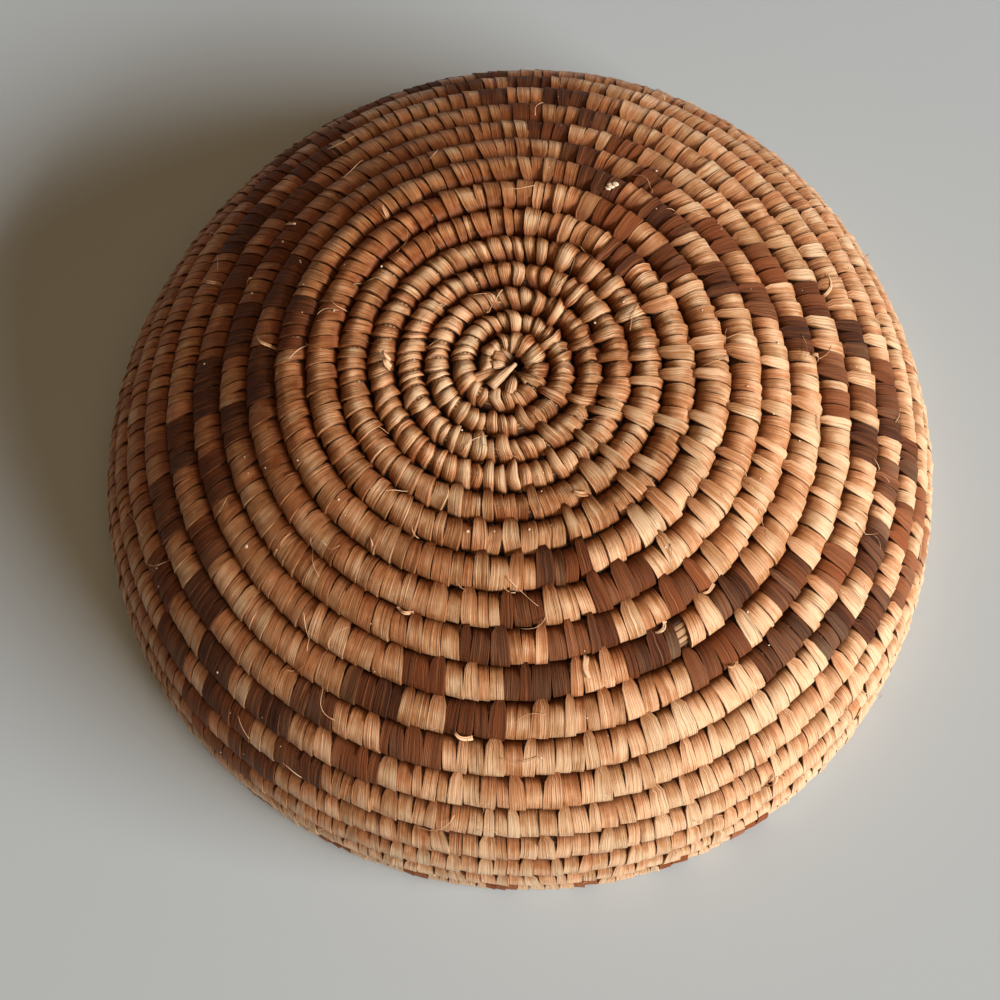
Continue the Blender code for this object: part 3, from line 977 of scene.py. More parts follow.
class LeafTones:
    """How pale and how dyed the wraps of one round are.

    Undyed leaf grows paler from the eye to the rim, and more even near it. Painted shade darkens it on one
    side of the wall, and painted light makes the base paler towards -X. Every block of the pattern has a
    redness of its own. The dye is darker under the painted shade. Opposite, it is thinner and redder from
    three quarters of the way out, partly wear and partly painted light, apart from the ticks on the rim,
    which are all red.
    Places outwards are shares of the way to the rim.
    """

    TONE = 0.49
    PALER_OUTWARD = 0.28
    PALER_FROM = 0.1
    PALER_AT_RIM = 0.30
    PALER_STITCH = 0.05
    RIM_FROM = 0.80
    EVEN_FROM = 0.6
    EVENER = 0.45
    LONG_RUN = 8
    LONG_SPREAD = 0.12
    SHORT_RUN = 3
    SHORT_SPREAD = 0.07
    WRAP_SPREAD = 0.14
    BLOCKS = 64
    BLOCK_SEED = 900
    BLOCK_POWER = 1.6
    LEAST_RED = 0.10
    BLOCK_RED = 0.72
    WRAP_RED = 0.18
    LESS_RED_IN_SHADE = 0.55
    RED_IN_TICK = 0.75
    RED_IN_WORN = 0.45
    WORN_FROM = 0.74
    WORN_OVER = 0.16
    THINNEST = 0.12
    THINNER_IN_WORN = 0.42

    def __init__(self, coil, colours, wraps, chance):
        self.coil = coil
        self.colours = colours
        self.wraps = wraps
        self.chance = chance
        self.turn = coil.turn_at(wraps["middle"])
        self.count = len(self.turn)
        self.out = coil.middle(self.turn) / coil.rim_distance
        self.toward_shade = 0.5 + 0.5 * np.cos(coil.azimuth(self.turn) - colours.shaded_azimuth)

    def undyed(self):
        """How pale each wrap is, from 0 for brown to 1 for the palest leaf."""
        run = smooth_walk(self.chance, self.count, self.LONG_RUN) * self.LONG_SPREAD
        run = run + smooth_walk(self.chance, self.count, self.SHORT_RUN) * self.SHORT_SPREAD
        run = run + self.WRAP_SPREAD * self.chance.uniform(-1, 1, self.count)
        evener = 1 - self.EVENER * smooth((self.out - self.EVEN_FROM) / (1 - self.EVEN_FROM))
        outward = smooth((self.out - self.PALER_FROM) / (1 - self.PALER_FROM))
        tone = self.TONE + self.PALER_OUTWARD * outward + run * evener
        tone = tone + np.where(self.wraps["stitch"], self.PALER_STITCH, 0.0)
        tone = tone + self.PALER_AT_RIM * smooth((self.out - self.RIM_FROM) / (1 - self.RIM_FROM))
        on_wall = self.coil.wall_share(self.turn)
        # Painted shade on one side of the wall.
        tone = tone - self.colours.shaded_side * on_wall ** 2 * self.toward_shade
        # Painted light on the base: paler towards -X, darker towards +X.
        return tone - self.colours.base_painted_light * (1 - on_wall) * np.cos(self.coil.azimuth(self.turn))

    def dyed(self, pattern, number):
        """How fully each wrap is covered with dye, and how red the dye is, or else the undyed leaf."""
        is_rim = number == self.coil.form.rounds
        if is_rim:
            block = rim_blocks(self.coil, pattern, self.wraps["middle"])
        else:
            block = zigzag_blocks(self.coil, pattern, -self.coil.azimuth(self.turn), self.turn, number)
        # The dye fades towards the rim on the lit side only: partly wear, partly painted light.
        worn = smooth((self.out - self.WORN_FROM) / self.WORN_OVER) * (1 - self.toward_shade)
        of_block = np.random.default_rng(self.BLOCK_SEED + number).uniform(0, 1, self.BLOCKS)
        of_block = of_block ** self.BLOCK_POWER
        red = self.LEAST_RED + self.BLOCK_RED * of_block[block % self.BLOCKS]
        red = red + self.WRAP_RED * self.chance.uniform(-1, 1, self.count)
        redder = self.RED_IN_TICK if is_rim else self.RED_IN_WORN * worn
        # Painted shade: the dye is darker on the shaded side.
        red = red * (1 - self.LESS_RED_IN_SHADE * self.toward_shade) + redder
        red = np.where(block >= 0, red, self.chance.uniform(0, 1, self.count))
        cover = np.where(block >= 0, 1 - self.THINNEST * self.chance.random(self.count) ** 2, 0.0)
        cover = cover * (1 - (0.0 if is_rim else self.THINNER_IN_WORN) * worn)
        return cover, np.clip(red, 0, 1)


def bare_places(coil, loose, wraps, number):
    """Which wraps of a round are missing, so that the reeds show."""
    clockwise = -coil.azimuth(coil.turn_at(wraps["middle"]))
    away = np.abs((clockwise - loose.bare_azimuth + math.pi) % FULL_TURN - math.pi)
    return (away == away.min()) & (number == loose.bare_round)


def sewn_round(coil, scene, number):
    """One round of wraps as a piece: round 0 is the start, and the last is the rim.

    On the wall, where the wraps lie flat, the two shoulders of each are crisp.
    """
    name = f"round_{number:02d}"
    if number == 0:
        name = "start"
    if number == coil.form.rounds:
        name = "rim"
    colours = scene.basket_colours
    chance, wraps = lay_out_wraps(coil, scene.basket_strips, number)
    bare = bare_places(coil, scene.basket_loose, wraps, number)
    wraps["stitch"] = wraps["stitch"] & ~bare
    sewing = Sewing(coil, scene.basket_strips, wraps, chance)
    tones = LeafTones(coil, colours, wraps, chance)
    columns = [tones.undyed(), *tones.dyed(scene.basket_pattern, number)]
    columns = [column.reshape(-1, 1, 1) for column in columns]
    # The fourth channel is painted shade towards the grooves and in the eye.
    columns.append(sewing.painted_shade())
    attributes = {
        "strip_place": sewing.place_on_strip()[~bare],
        "strip_tone_and_shade": np.stack(np.broadcast_arrays(*columns), axis=-1)[~bare],
        "strip_side": sewing.side_of_strip()[~bare],
    }
    left = int(np.sum(~bare))
    quads = ring_faces(left, len(SECTION_ANGLES), len(COLUMN_NUMBERS))[:, ::-1]
    first, last = coil.round_limits(number)
    lies_flat = float(coil.flat_share((first + last) / 2)) > CRISP_FROM
    crisp = np.tile(COLUMN_NUMBERS, left * len(SECTION_ANGLES)) if lies_flat else None
    material = shared_material(leaf_material, "dry_leaf", colours)
    make_piece(f"sewn_{name}", sewing.points()[~bare], quads, (), attributes, material,
               (f"wrap_{name}",), crisp)


# Corners of the section of a fibre or a loose strip, and how crumpled its leaf is.
RIBBON_SECTION = ((-1.0, 0.0), (-0.6, -1.0), (0.6, -1.0), (1.0, 0.0), (0.6, 1.0), (-0.6, 1.0))
RIBBON_CRUMPLE = 0.7


def ribbons(paths, up, half_widths, thickness, bend=0.0):
    """Points of many thin strips along their paths.

    Each has a flat six-cornered section, square to its path. Bend lifts the edges over the middle, as in a
    leaf that curls lengthwise.
    """
    tangent = unit(np.gradient(paths, axis=1))
    side = unit(np.cross(up, tangent))
    up = np.cross(tangent, side)
    rings = []
    for across, height in RIBBON_SECTION:
        lift = height * thickness / 2 + bend * half_widths * across ** 2
        rings.append(paths + side * (across * half_widths)[..., None] + up * lift[..., None])
    return np.stack(rings, axis=2)


def ribbon_piece(scene, name, paths, up, half_widths, thickness, tones, chance, bend=0.0,
                 in_painted_shade=0.0):
    """Many thin strips as one piece, in dry leaf, in painted shade over a share of their length from the
    start.
    """
    count, stations = paths.shape[:2]
    points = ribbons(paths, up, half_widths, thickness, bend)
    steps = np.linalg.norm(np.diff(paths, axis=1), axis=-1)
    along = np.concatenate((np.zeros((count, 1)), np.cumsum(steps, axis=1)), axis=1) / MILLIMETRE
    shape = (count, stations, len(RIBBON_SECTION))
    across = np.array([corner[0] for corner in RIBBON_SECTION]) * half_widths[..., None] / MILLIMETRE
    seeds = chance.uniform(0, SEEDS, (count, 1, 1))
    place = np.stack(np.broadcast_arrays(along[..., None], across, seeds), axis=-1)
    tone = np.broadcast_to(tones.reshape(count, 1, 1), shape)
    # Painted shade, fading out along the first share of each strip.
    painted_shade = 1 - smooth(np.linspace(0, 1, stations) / max(in_painted_shade, TINY) - TINY)
    painted_shade = np.broadcast_to(painted_shade.reshape(1, -1, 1) * (in_painted_shade > 0), shape)
    strip_tone_and_shade = np.stack((tone, 0 * tone, 0.5 + 0 * tone, painted_shade), axis=-1)
    sides, ends = tube_faces(count, stations, len(RIBBON_SECTION))
    side = np.full((*shape, 3), (0, 0, RIBBON_CRUMPLE))
    attributes = {"strip_place": place, "strip_tone_and_shade": strip_tone_and_shade, "strip_side": side}
    material = shared_material(leaf_material, "dry_leaf", scene.basket_colours)
    make_piece(name, points, sides, ends, attributes, material)


class BASKET_OT_sew_rounds(bpy.types.Operator):
    """Sews the wraps of the coil's start, of each full round and of the rim."""

    bl_idname = "basket.sew_rounds"
    bl_label = "Sew the rounds"

    def execute(self, context):
        scene = context.scene
        coil = Coil(scene)
        for number in range(coil.form.rounds + 1):
            sewn_round(coil, scene, number)
        return {"FINISHED"}


class BASKET_OT_lay_bundle(bpy.types.Operator):
    """Lays the bundle of reeds that runs inside the wraps from the eye to the tail.

    Its section is a squarish circle whose edge rises and falls once for each reed round it.
    """

    bl_idname = "basket.lay_bundle"
    bl_label = "Lay the bundle"

    REEDS = 15
    CORNERS_PER_REED = 2
    RINGS_PER_TURN = 60
    SHARE_OF_COIL = 0.80
    RIDGE = 0.05

    def execute(self, context):
        coil = Coil(context.scene)
        rings = int((coil.tail_end - coil.eye_turn) * self.RINGS_PER_TURN)
        around = self.REEDS * self.CORNERS_PER_REED
        turn = np.linspace(coil.eye_turn, coil.tail_end, rings).reshape(-1, 1)
        angles = (FULL_TURN * np.arange(around) / around).reshape(1, -1)
        ridge = 1 + self.RIDGE * np.cos(self.REEDS * angles)
        across, up = rounded(angles, coil.section_power(turn))
        half_width = coil.half_width(turn) * self.SHARE_OF_COIL * ridge
        half_thickness = coil.half_thickness(turn) * self.SHARE_OF_COIL * ridge
        distance = coil.middle(turn) + across * half_width
        points = coil.place(distance, up * half_thickness, coil.azimuth(turn))
        along = coil.length_at(turn) / MILLIMETRE * np.ones_like(angles)
        reed = (np.arange(around) / self.CORNERS_PER_REED + 0.5).reshape(1, -1) * np.ones_like(turn)
        place = np.stack((along, reed, across * np.ones_like(along)), axis=-1)
        sides, ends = tube_faces(1, rings, around)
        material = shared_material(reed_material, "bundle_of_reeds", context.scene.basket_colours)
        make_piece("bundle_of_reeds", points, sides, ends, {"strip_place": place}, material,
                   ("foundation_bundle",))
        return {"FINISHED"}


class BASKET_OT_tie_start(bpy.types.Operator):
    """Ties the start of the coil: a plug of leaf round a small hole, and straps that come out of the hole.

    The plug is a ring whose outer edge follows the coil's innermost groove. Each strap runs straight from
    the hole to the coil, arched over the plug.
    """

    bl_idname = "basket.tie_start"
    bl_label = "Tie the start"

    HOLE = (0.0034, 0.0008)
    HOLE_RADIUS = 0.0024
    PLUG_CORNERS = 28
    PLUG_PROFILE = ((0.0, 0.05), (0.05, 0.12), (0.4, 0.34), (1.0, 0.42), (1.0, -0.42), (0.4, -0.34),
                    (0.05, -0.12), (0.0, -0.05))
    PLUG_OVERLAP = 0.0004
    # The plug's tone, dye, redness and painted shade: nearly the groove colour, as painted shade in the
    # hole.
    PLUG_TONE = (0.0, 0.0, 0.6, 0.9)
    PLUG_STRETCH = (4, 2.2)
    STATIONS = 9
    THICKNESS = 0.0013
    HEIGHT_SPREAD = 0.0004
    WIDTH_SPREAD = (0.85, 1.15)
    TONES = (0.15, 0.55)
    RISE_SPEED = 1.6
    WIDENING_SPEED = 1.5
    START_WIDTH = 0.42
    SEED = 77
    # The lower straps take painted shade from the hole out over most of their length.
    LOWER_STRAPS = {
        "turns": (0.04, 0.17, 0.29, 0.42, 0.56, 0.66, 0.78, 0.98),
        "inner_gap": 0.0023, "beyond": 0.0028, "height": 0.0036, "sink": 0.0040, "half_width": 0.00160,
        "bend": -0.12, "in_painted_shade": 0.7,
    }
    STRAP_OVER = {
        "turns": (0.885,),
        "inner_gap": 0.0004, "beyond": 0.0010, "height": 0.0046, "sink": 0.0016, "half_width": 0.00165,
        "bend": 0.05, "in_painted_shade": 0.0,
    }

    def spokes(self, coil, turns, inner_gap, beyond):
        """Flat places a gap off the middle of the hole, and others a little past the innermost groove."""
        radius = coil.groove(turns) + beyond
        azimuth = coil.azimuth(turns)
        outer = np.stack((radius * np.cos(azimuth), radius * np.sin(azimuth)), axis=-1)
        inner = np.array(self.HOLE) + unit(outer - self.HOLE) * inner_gap
        return inner[:, None, :], outer[:, None, :]

    def straps(self, scene, coil, chance, name, sizes):
        """Straps from the hole outwards, both on the outside of the base and on its inside."""
        turns = coil.eye_turn + np.array(sizes["turns"])
        count = len(turns)
        inner, outer = self.spokes(coil, turns, sizes["inner_gap"], sizes["beyond"])
        share = np.linspace(0, 1, self.STATIONS).reshape(1, -1, 1)
        flat = mix(inner, outer, share) + coil.centre
        rise = sizes["height"] - sizes["sink"] * (1 - smooth(share * self.RISE_SPEED))
        rise = rise + chance.uniform(-1, 1, (count, 1, 1)) * self.HEIGHT_SPREAD
        width = mix(self.START_WIDTH, 1, smooth(share[..., 0] * self.WIDENING_SPEED))
        half = sizes["half_width"] * width * chance.uniform(*self.WIDTH_SPREAD, (count, 1))
        paths = [np.concatenate((flat, coil.rim_depth + face * rise), axis=-1) for face in (1, -1)]
        ups = [np.broadcast_to((0.0, 0.0, face), paths[0].shape) for face in (1, -1)]
        tones = chance.uniform(*self.TONES, 2 * count)
        ribbon_piece(scene, name, np.concatenate(paths), np.concatenate(ups), np.concatenate((half, half)),
                     self.THICKNESS, tones, chance, sizes["bend"], sizes["in_painted_shade"])

    def plug(self, scene, coil):
        """The plug: its profile runs from the hole to the coil on the outside, and back on the inside."""
        turns = coil.eye_turn + np.arange(self.PLUG_CORNERS) / self.PLUG_CORNERS
        inner, outer = self.spokes(coil, turns, self.HOLE_RADIUS, self.PLUG_OVERLAP)
        outward, over = np.array(self.PLUG_PROFILE).T
        flat = mix(inner, outer, outward[None, :, None]) + coil.centre
        z = np.broadcast_to(coil.rim_depth + over * coil.form.wall_thickness / 2, flat.shape[:2])
        shape = flat.shape[:2]
        along, sideways = self.PLUG_STRETCH
        place = (along * outward, sideways * np.arange(len(turns))[:, None], 0.0)
        attributes = {
            "strip_place": np.stack([np.broadcast_to(part, shape) for part in place], axis=-1),
            "strip_tone_and_shade": np.full((*shape, 4), self.PLUG_TONE),
            "strip_side": np.full((*shape, 3), (0, 0, 1.0)),
        }
        quads = ring_faces(1, *shape)[:, ::-1]
        material = shared_material(leaf_material, "dry_leaf", scene.basket_colours)
        points = np.concatenate((flat, z[..., None]), axis=-1)
        make_piece("tied_start", points, quads, (), attributes, material, ("start_knot",))

    def execute(self, context):
        scene = context.scene
        coil = Coil(scene)
        chance = np.random.default_rng(self.SEED)
        self.plug(scene, coil)
        self.straps(scene, coil, chance, "start_straps", self.LOWER_STRAPS)
        self.straps(scene, coil, chance, "start_strap_over", self.STRAP_OVER)
        return {"FINISHED"}


class BASKET_OT_add_loose_ends(bpy.types.Operator):
    """Adds loose fibres, cut ends of strips and pale flecks on the outside of the basket.

    Every fibre and every end follows a line across the sewing, lifted off it by a half wave.
    """

    bl_idname = "basket.add_loose_ends"
    bl_label = "Add the loose ends"

    STATIONS = 8
    SET_ENDS = (
        ("round", "clockwise", "across", "heading", "length"),
        (11.0, 98, 0.9, 70, 5.5),
        (8.0, 112, 0.9, 50, 5.0),
        (5.0, 62, 0.7, 80, 4.5),
        (9.0, 49, 0.9, 60, 5.0),
        (11.0, 54, 0.9, 75, 4.5),
        (9.0, 61, 0.9, 40, 5.0),
        (4.0, 183, -0.6, 10, 3.4),
        (4.0, 179, -0.6, 20, 3.0),
    )
    SET_FIBRES = (
        ("round", "clockwise", "across", "heading", "length"),
        (14.0, 100, -0.6, 25, 13),
        (13.0, 97, -0.4, -40, 12),
        (12.0, 119, 0.0, 100, 11),
        (13.0, 240, 0.6, 20, 14),
        (8.0, 84, 0.4, 30, 8),
        (8.0, 301, -0.6, 80, 12),
        (7.0, 117, -0.95, 85, 4),
        (8.0, 101, -0.95, 85, 5),
        (8.0, 90, -0.95, 85, 5),
    )
    SMUDGE = ((7.509, -0.34, 0.0016), (7.511, -0.14, 0.0013), (7.508, -0.54, 0.0012))
    LENGTH_SPREAD = (0.55, 1.6)
    BOW = 0.22
    LIFT_POWER = 2.5
    WAVE_SPREAD = (0.4, 1)
    SET_WAVE = 0.8
    FIBRE_HEADING = 1.1
    FIBRE_THINNING = 0.6
    FIBRE_WIDTHS = (0.6, 1.5)
    FIBRE_TONES = (0.30, 0.85)
    FIBRE_GAP = 0.25 * MILLIMETRE
    FIBRE_LIFT = 2.2 * MILLIMETRE
    SET_FIBRE_LIFT = 2.4 * MILLIMETRE
    FIBRE_THICKNESS = 0.16 * MILLIMETRE
    END_HEADING = 0.9
    END_NARROWING = 0.55
    END_WIDTHS = (0.6, 1.3)
    END_TONES = (0.10, 0.60)
    END_GAP = 0.2 * MILLIMETRE
    END_LIFT = 1.5 * MILLIMETRE
    SET_END_LIFT = 1.8 * MILLIMETRE
    END_HALF_WIDTH = 0.85 * MILLIMETRE
    END_THICKNESS = 0.22 * MILLIMETRE
    END_BEND = 0.35
    SET_TURN = 40
    FIRST_TURN = 1.0
    TURNS_BEFORE_RIM = 1.4
    FLECK_PLACES = (-0.85, 0.85)
    FLECK_SPREAD = 0.35
    FLECK_ASKEW = (0.3, 0.2, 1.0)
    FLECK_GAP = 0.05 * MILLIMETRE
    FLECK_THICKNESS = 0.4 * MILLIMETRE
    FLECK_CORNERS = 6
    FLECK_RINGS = ((-0.4, 0.8), (0.10, 1.0), (0.38, 0.6))

    def random_turns(self, coil, chance, count):
        """Random places along the coil, from the eye to a little short of the rim."""
        limits = coil.length_at(np.array((self.FIRST_TURN, coil.rim_turn - self.TURNS_BEFORE_RIM)))
        return coil.turn_at(chance.uniform(*limits, count))

    def set_lines(self, coil, places, lift, lowest):
        """Lines of the ends that were seen, each turning to one side as it goes on."""
        rounds, clockwise, across, heading, size = np.array(places[1:]).T
        first = coil.form.first_round_turn + rounds - 1
        turn = first + (np.radians(clockwise) + coil.azimuth(first)) % FULL_TURN / FULL_TURN
        share = np.linspace(0, 1, self.STATIONS)[None, :]
        forth = share * size[:, None] * MILLIMETRE
        bend = np.radians(heading[:, None] + self.SET_TURN * share)
        across = across[:, None] + forth * np.cos(bend) / coil.half_width(turn)[:, None]
        turns = coil.turn_at(coil.length_at(turn)[:, None] + forth * np.sin(bend))
        return turns, across, lowest + lift * np.sin(math.pi * self.SET_WAVE * share) + 0 * turns

    def lines(self, coil, chance, count, mean_length, along_coil, lift, lowest):
        """Lines over the sewing, each with a start, a direction, a sideways bow and a half wave of lift."""
        turn = self.random_turns(coil, chance, count)
        size = mean_length * chance.uniform(*self.LENGTH_SPREAD, count)
        heading = chance.normal(0, 1, count) * along_coil + np.where(chance.random(count) < 0.5, 0, math.pi)
        share = np.linspace(0, 1, self.STATIONS)[None, :]
        bow = chance.uniform(-self.BOW, self.BOW, (count, 1)) * np.sin(math.pi * share) * size[:, None]
        forth = share * size[:, None]
        over = forth * np.cos(heading)[:, None] - bow * np.sin(heading)[:, None]
        along = forth * np.sin(heading)[:, None] + bow * np.cos(heading)[:, None]
        across = chance.uniform(-1, 1, count)[:, None] + over / coil.half_width(turn)[:, None]
        turns = coil.turn_at(coil.length_at(turn)[:, None] + along)
        wave = np.sin(math.pi * share * chance.uniform(*self.WAVE_SPREAD, (count, 1)))
        return turns, across, lowest + lift * chance.random((count, 1)) ** self.LIFT_POWER * wave

    def path(self, coil, turns, across, rise):
        """The line's path in the frame, and the direction away from the sewing along it."""
        points = coil.on_surface(turns, across, rise)
        return points, unit(coil.on_surface(turns, across, rise + MILLIMETRE) - points)

    def fibres(self, scene, coil, chance):
        """Loose fibres, thinning to one end."""
        loose = scene.basket_loose
        lowest = scene.basket_strips.fullness + self.FIBRE_GAP
        lines = self.lines(coil, chance, loose.fibres, loose.fibre_length, self.FIBRE_HEADING,
                           self.FIBRE_LIFT, lowest)
        seen = self.set_lines(coil, self.SET_FIBRES, self.SET_FIBRE_LIFT, lowest)
        points, up = self.path(coil, *(np.concatenate(pair) for pair in zip(lines, seen)))
        count = len(points)
        thinning = 1 - self.FIBRE_THINNING * np.linspace(0, 1, self.STATIONS)
        half = loose.fibre_width / 2 * thinning * chance.uniform(*self.FIBRE_WIDTHS, (count, 1))
        tones = chance.uniform(*self.FIBRE_TONES, count)
        ribbon_piece(scene, "loose_fibres", points, up, half, self.FIBRE_THICKNESS, tones, chance)

    def strip_ends(self, scene, coil, chance):
        """Cut ends of strips, each starting in a groove and narrowing to its end."""
        loose = scene.basket_loose
        lowest = scene.basket_strips.fullness + self.END_GAP
        turns, across, rise = self.lines(coil, chance, loose.strip_ends, loose.strip_end_length,
                                         self.END_HEADING, self.END_LIFT, lowest)
        start = across[:, :1]
        groove = np.round(start / 2 + 0.5) * 2 - 1
        seen = self.set_lines(coil, self.SET_ENDS, self.SET_END_LIFT, lowest)
        lines = zip((turns, groove + across - start, rise), seen)
        points, up = self.path(coil, *(np.concatenate(pair) for pair in lines))
        count = len(points)
        narrowing = 1 - self.END_NARROWING * np.linspace(0, 1, self.STATIONS) ** 2
        half = self.END_HALF_WIDTH * narrowing * chance.uniform(*self.END_WIDTHS, (count, 1))
        tones = chance.uniform(*self.END_TONES, count)
        ribbon_piece(scene, "strip_ends", points, up, half, self.END_THICKNESS, tones, chance,
                     bend=self.END_BEND)

    def flecks(self, scene, coil, chance):
        """Flat six-sided lumps on the leaf, each of three rings. The first few make up the pale smudge."""
        loose = scene.basket_loose
        turn = self.random_turns(coil, chance, loose.flecks)
        across = chance.uniform(*self.FLECK_PLACES, loose.flecks)
        radius = loose.fleck_radius * chance.lognormal(0, self.FLECK_SPREAD, loose.flecks)
        smudge = np.array(self.SMUDGE)
        turn[:len(smudge)], across[:len(smudge)], radius[:len(smudge)] = smudge.T
        middle, up = self.path(coil, turn, across, scene.basket_strips.fullness + self.FLECK_GAP + 0 * turn)
        east = unit(np.cross(up, self.FLECK_ASKEW))
        north = np.cross(up, east)
        angles = FULL_TURN * np.arange(self.FLECK_CORNERS)[:, None] / self.FLECK_CORNERS
        circle = east[:, None] * np.cos(angles) + north[:, None] * np.sin(angles)
        thickness = np.minimum(radius, self.FLECK_THICKNESS)
        rings = []
        for height, width in self.FLECK_RINGS:
            ring = middle[:, None] + circle * (radius * width)[:, None, None]
            rings.append(ring + up[:, None] * (thickness * height)[:, None, None])
        sides, ends = tube_faces(loose.flecks, len(rings), self.FLECK_CORNERS)
        material = shared_material(fleck_material, "pale_fleck", scene.basket_colours)
        make_piece("pale_flecks", np.stack(rings, axis=1), sides, ends, {}, material)

    def execute(self, context):
        scene = context.scene
        coil = Coil(scene)
        chance = np.random.default_rng(scene.basket_strips.seed)
        self.fibres(scene, coil, chance)
        self.strip_ends(scene, coil, chance)
        self.flecks(scene, coil, chance)
        return {"FINISHED"}


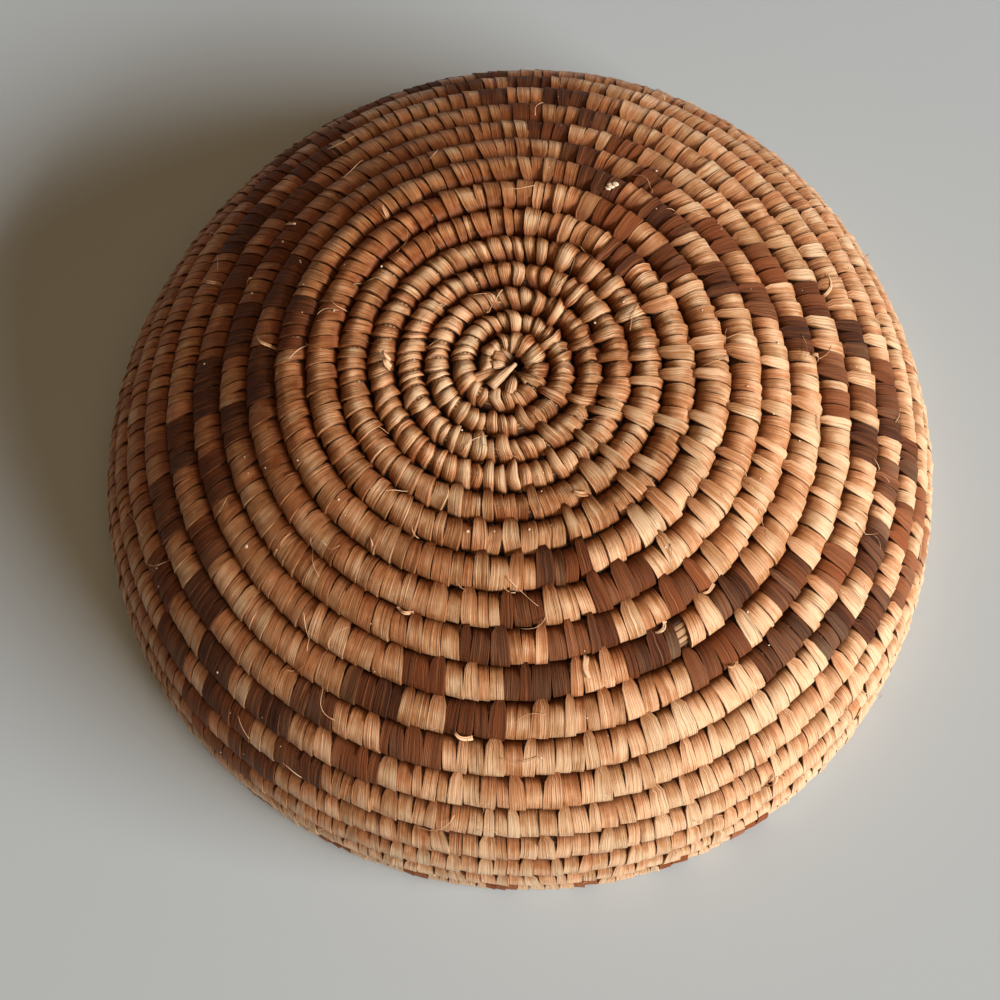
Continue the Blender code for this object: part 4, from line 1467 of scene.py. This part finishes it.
class BASKET_OT_set_stage(bpy.types.Operator):
    """Sets the floor, the lights and the camera at the angle from which the basket was seen."""

    bl_idname = "basket.set_stage"
    bl_label = "Set the stage"

    FLOOR_SIZE = 3.6
    FLOOR_ROUGHNESS = 0.9
    FLOOR_SHINE = 0.2
    SENSOR_WIDTH = 36.0
    NEAREST_SEEN = 0.01
    KEY_DISTANCE = 8.0
    KEY_SIZES = (7.0, 2.4)
    KEY_TINT = (1.0, 0.95, 0.88)
    TOP_SPOT = (0.12, -0.35, 1.5)
    TOP_SIZES = (1.1, 1.1)
    TOP_TINT = (1.0, 0.63, 0.31)
    SKY_TINT = (1.0, 0.65, 0.35)

    def floor(self, scene):
        """A plain pale floor under the rim."""
        half = self.FLOOR_SIZE / 2
        corners = [(-half, -half, 0), (half, -half, 0), (half, half, 0), (-half, half, 0)]
        mesh = bpy.data.meshes.new("floor")
        mesh.from_pydata(corners, [], [(0, 1, 2, 3)])
        nodes = Nodes("painted_floor")
        nodes.shader.inputs["Base Color"].default_value = rgba(scene.basket_studio.floor_colour)
        nodes.shader.inputs["Roughness"].default_value = self.FLOOR_ROUGHNESS
        nodes.shader.inputs["Specular IOR Level"].default_value = self.FLOOR_SHINE
        mesh.materials.append(nodes.material)
        floor = bpy.data.objects.new("floor", mesh)
        scene.collection.objects.link(floor)

    def put(self, scene, name, data, right, up, back, spot):
        """An object at a spot that looks against its third axis."""
        thing = bpy.data.objects.new(name, data)
        scene.collection.objects.link(thing)
        axes = np.eye(4)
        axes[:3] = np.stack((right, up, back, spot), axis=-1)
        thing.matrix_world = Matrix(axes)
        return thing

    def camera(self, scene):
        """The camera: it looks down on the base from the front, rolled a little."""
        studio = scene.basket_studio
        coil = Coil(scene)
        tilt, roll = studio.camera_elevation, studio.camera_roll
        level = np.array((1.0, 0.0, 0.0))
        forward = np.array((0.0, math.cos(tilt), -math.sin(tilt)))
        upright = np.array((0.0, math.sin(tilt), math.cos(tilt)))
        right = math.cos(roll) * level - math.sin(roll) * upright
        up = math.sin(roll) * level + math.cos(roll) * upright
        spot = np.array((*coil.centre, coil.rim_depth)) - studio.camera_distance * forward
        spot = spot - studio.camera_right * right - studio.camera_up * up
        data = bpy.data.cameras.new("camera")
        data.sensor_width = self.SENSOR_WIDTH
        data.lens = studio.lens
        data.clip_start = self.NEAREST_SEEN
        scene.camera = self.put(scene, "camera", data, right, up, -forward, spot)

    def lamp(self, scene, name, spot, sizes, power, tint):
        """A flat lamp that faces the basket."""
        data = bpy.data.lights.new(name, "AREA")
        data.shape = "RECTANGLE"
        data.size, data.size_y = sizes
        data.energy = power
        data.color = tint
        back = unit(np.array(spot))
        side = unit(np.cross((0.0, 0.01, 1.0), back))
        self.put(scene, name, data, side, np.cross(back, side), back, spot)

    def surroundings(self, scene):
        """Dim warm light from all sides, and a pale room for the camera and for reflections."""
        world = bpy.data.worlds.new("even_light")
        world.use_nodes = True
        tree = world.node_tree
        light = tree.nodes["Background"]
        light.inputs["Color"].default_value = rgba(self.SKY_TINT)
        light.inputs["Strength"].default_value = scene.basket_studio.sky_level
        room = tree.nodes.new("ShaderNodeBackground")
        room.inputs["Color"].default_value = rgba(scene.basket_studio.room_colour)
        rays = tree.nodes.new("ShaderNodeLightPath").outputs
        seen = rays["Is Camera Ray"]
        for other in ("Is Glossy Ray", "Is Transmission Ray"):
            either = tree.nodes.new("ShaderNodeMath")
            either.operation = "MAXIMUM"
            tree.links.new(seen, either.inputs[0])
            tree.links.new(rays[other], either.inputs[1])
            seen = either.outputs[0]
        chosen = tree.nodes.new("ShaderNodeMixShader")
        tree.links.new(seen, chosen.inputs[0])
        tree.links.new(light.outputs[0], chosen.inputs[1])
        tree.links.new(room.outputs[0], chosen.inputs[2])
        tree.links.new(chosen.outputs[0], tree.nodes["World Output"].inputs["Surface"])
        scene.world = world

    def execute(self, context):
        scene = context.scene
        studio = scene.basket_studio
        self.floor(scene)
        self.camera(scene)
        azimuth, rise = studio.key_azimuth, studio.key_elevation
        level = math.cos(rise)
        toward = np.array((level * math.cos(azimuth), level * math.sin(azimuth), math.sin(rise)))
        key_spot = self.KEY_DISTANCE * toward
        self.lamp(scene, "window_light", key_spot, self.KEY_SIZES, studio.key_power, self.KEY_TINT)
        self.lamp(scene, "light_from_above", self.TOP_SPOT, self.TOP_SIZES, studio.top_power, self.TOP_TINT)
        self.surroundings(scene)
        scene.view_settings.view_transform = "Standard"
        return {"FINISHED"}


class BASKET_PT_making(bpy.types.Panel):
    """Lists the sizes and the steps of the making."""

    bl_idname = "BASKET_PT_making"
    bl_label = "Coiled basket bowl"
    bl_space_type = "VIEW_3D"
    bl_region_type = "UI"
    bl_category = "Basket"

    def draw(self, context):
        for step in STEPS:
            self.layout.operator(step.bl_idname)
        for key, group in GROUPS.items():
            box = self.layout.box()
            box.label(text=group.__doc__)
            for field in group.__annotations__:
                box.prop(getattr(context.scene, key), field)


STEPS = (BASKET_OT_lay_bundle, BASKET_OT_tie_start, BASKET_OT_sew_rounds, BASKET_OT_add_loose_ends,
         BASKET_OT_set_stage)
GROUPS = {
    "basket_form": BasketForm,
    "basket_strips": LeafStrips,
    "basket_pattern": ZigzagPattern,
    "basket_loose": LooseEnds,
    "basket_colours": LeafColours,
    "basket_studio": Studio,
}


def register():
    """Makes the settings, the steps and the panel known to Blender."""
    for part in (*GROUPS.values(), *STEPS, BASKET_PT_making):
        bpy.utils.register_class(part)
    for key, group in GROUPS.items():
        setattr(bpy.types.Scene, key, PointerProperty(type=group))


def unregister():
    """Takes the settings, the steps and the panel away again."""
    for key in GROUPS:
        delattr(bpy.types.Scene, key)
    for part in (BASKET_PT_making, *STEPS, *GROUPS.values()):
        bpy.utils.unregister_class(part)


def run(step):
    """Runs one step of the making by its name."""
    family, name = step.bl_idname.split(".")
    getattr(getattr(bpy.ops, family), name)()


def main():
    """Makes the basket and the stage."""
    register()
    for step in STEPS:
        run(step)


if __name__ == "__main__":
    main()
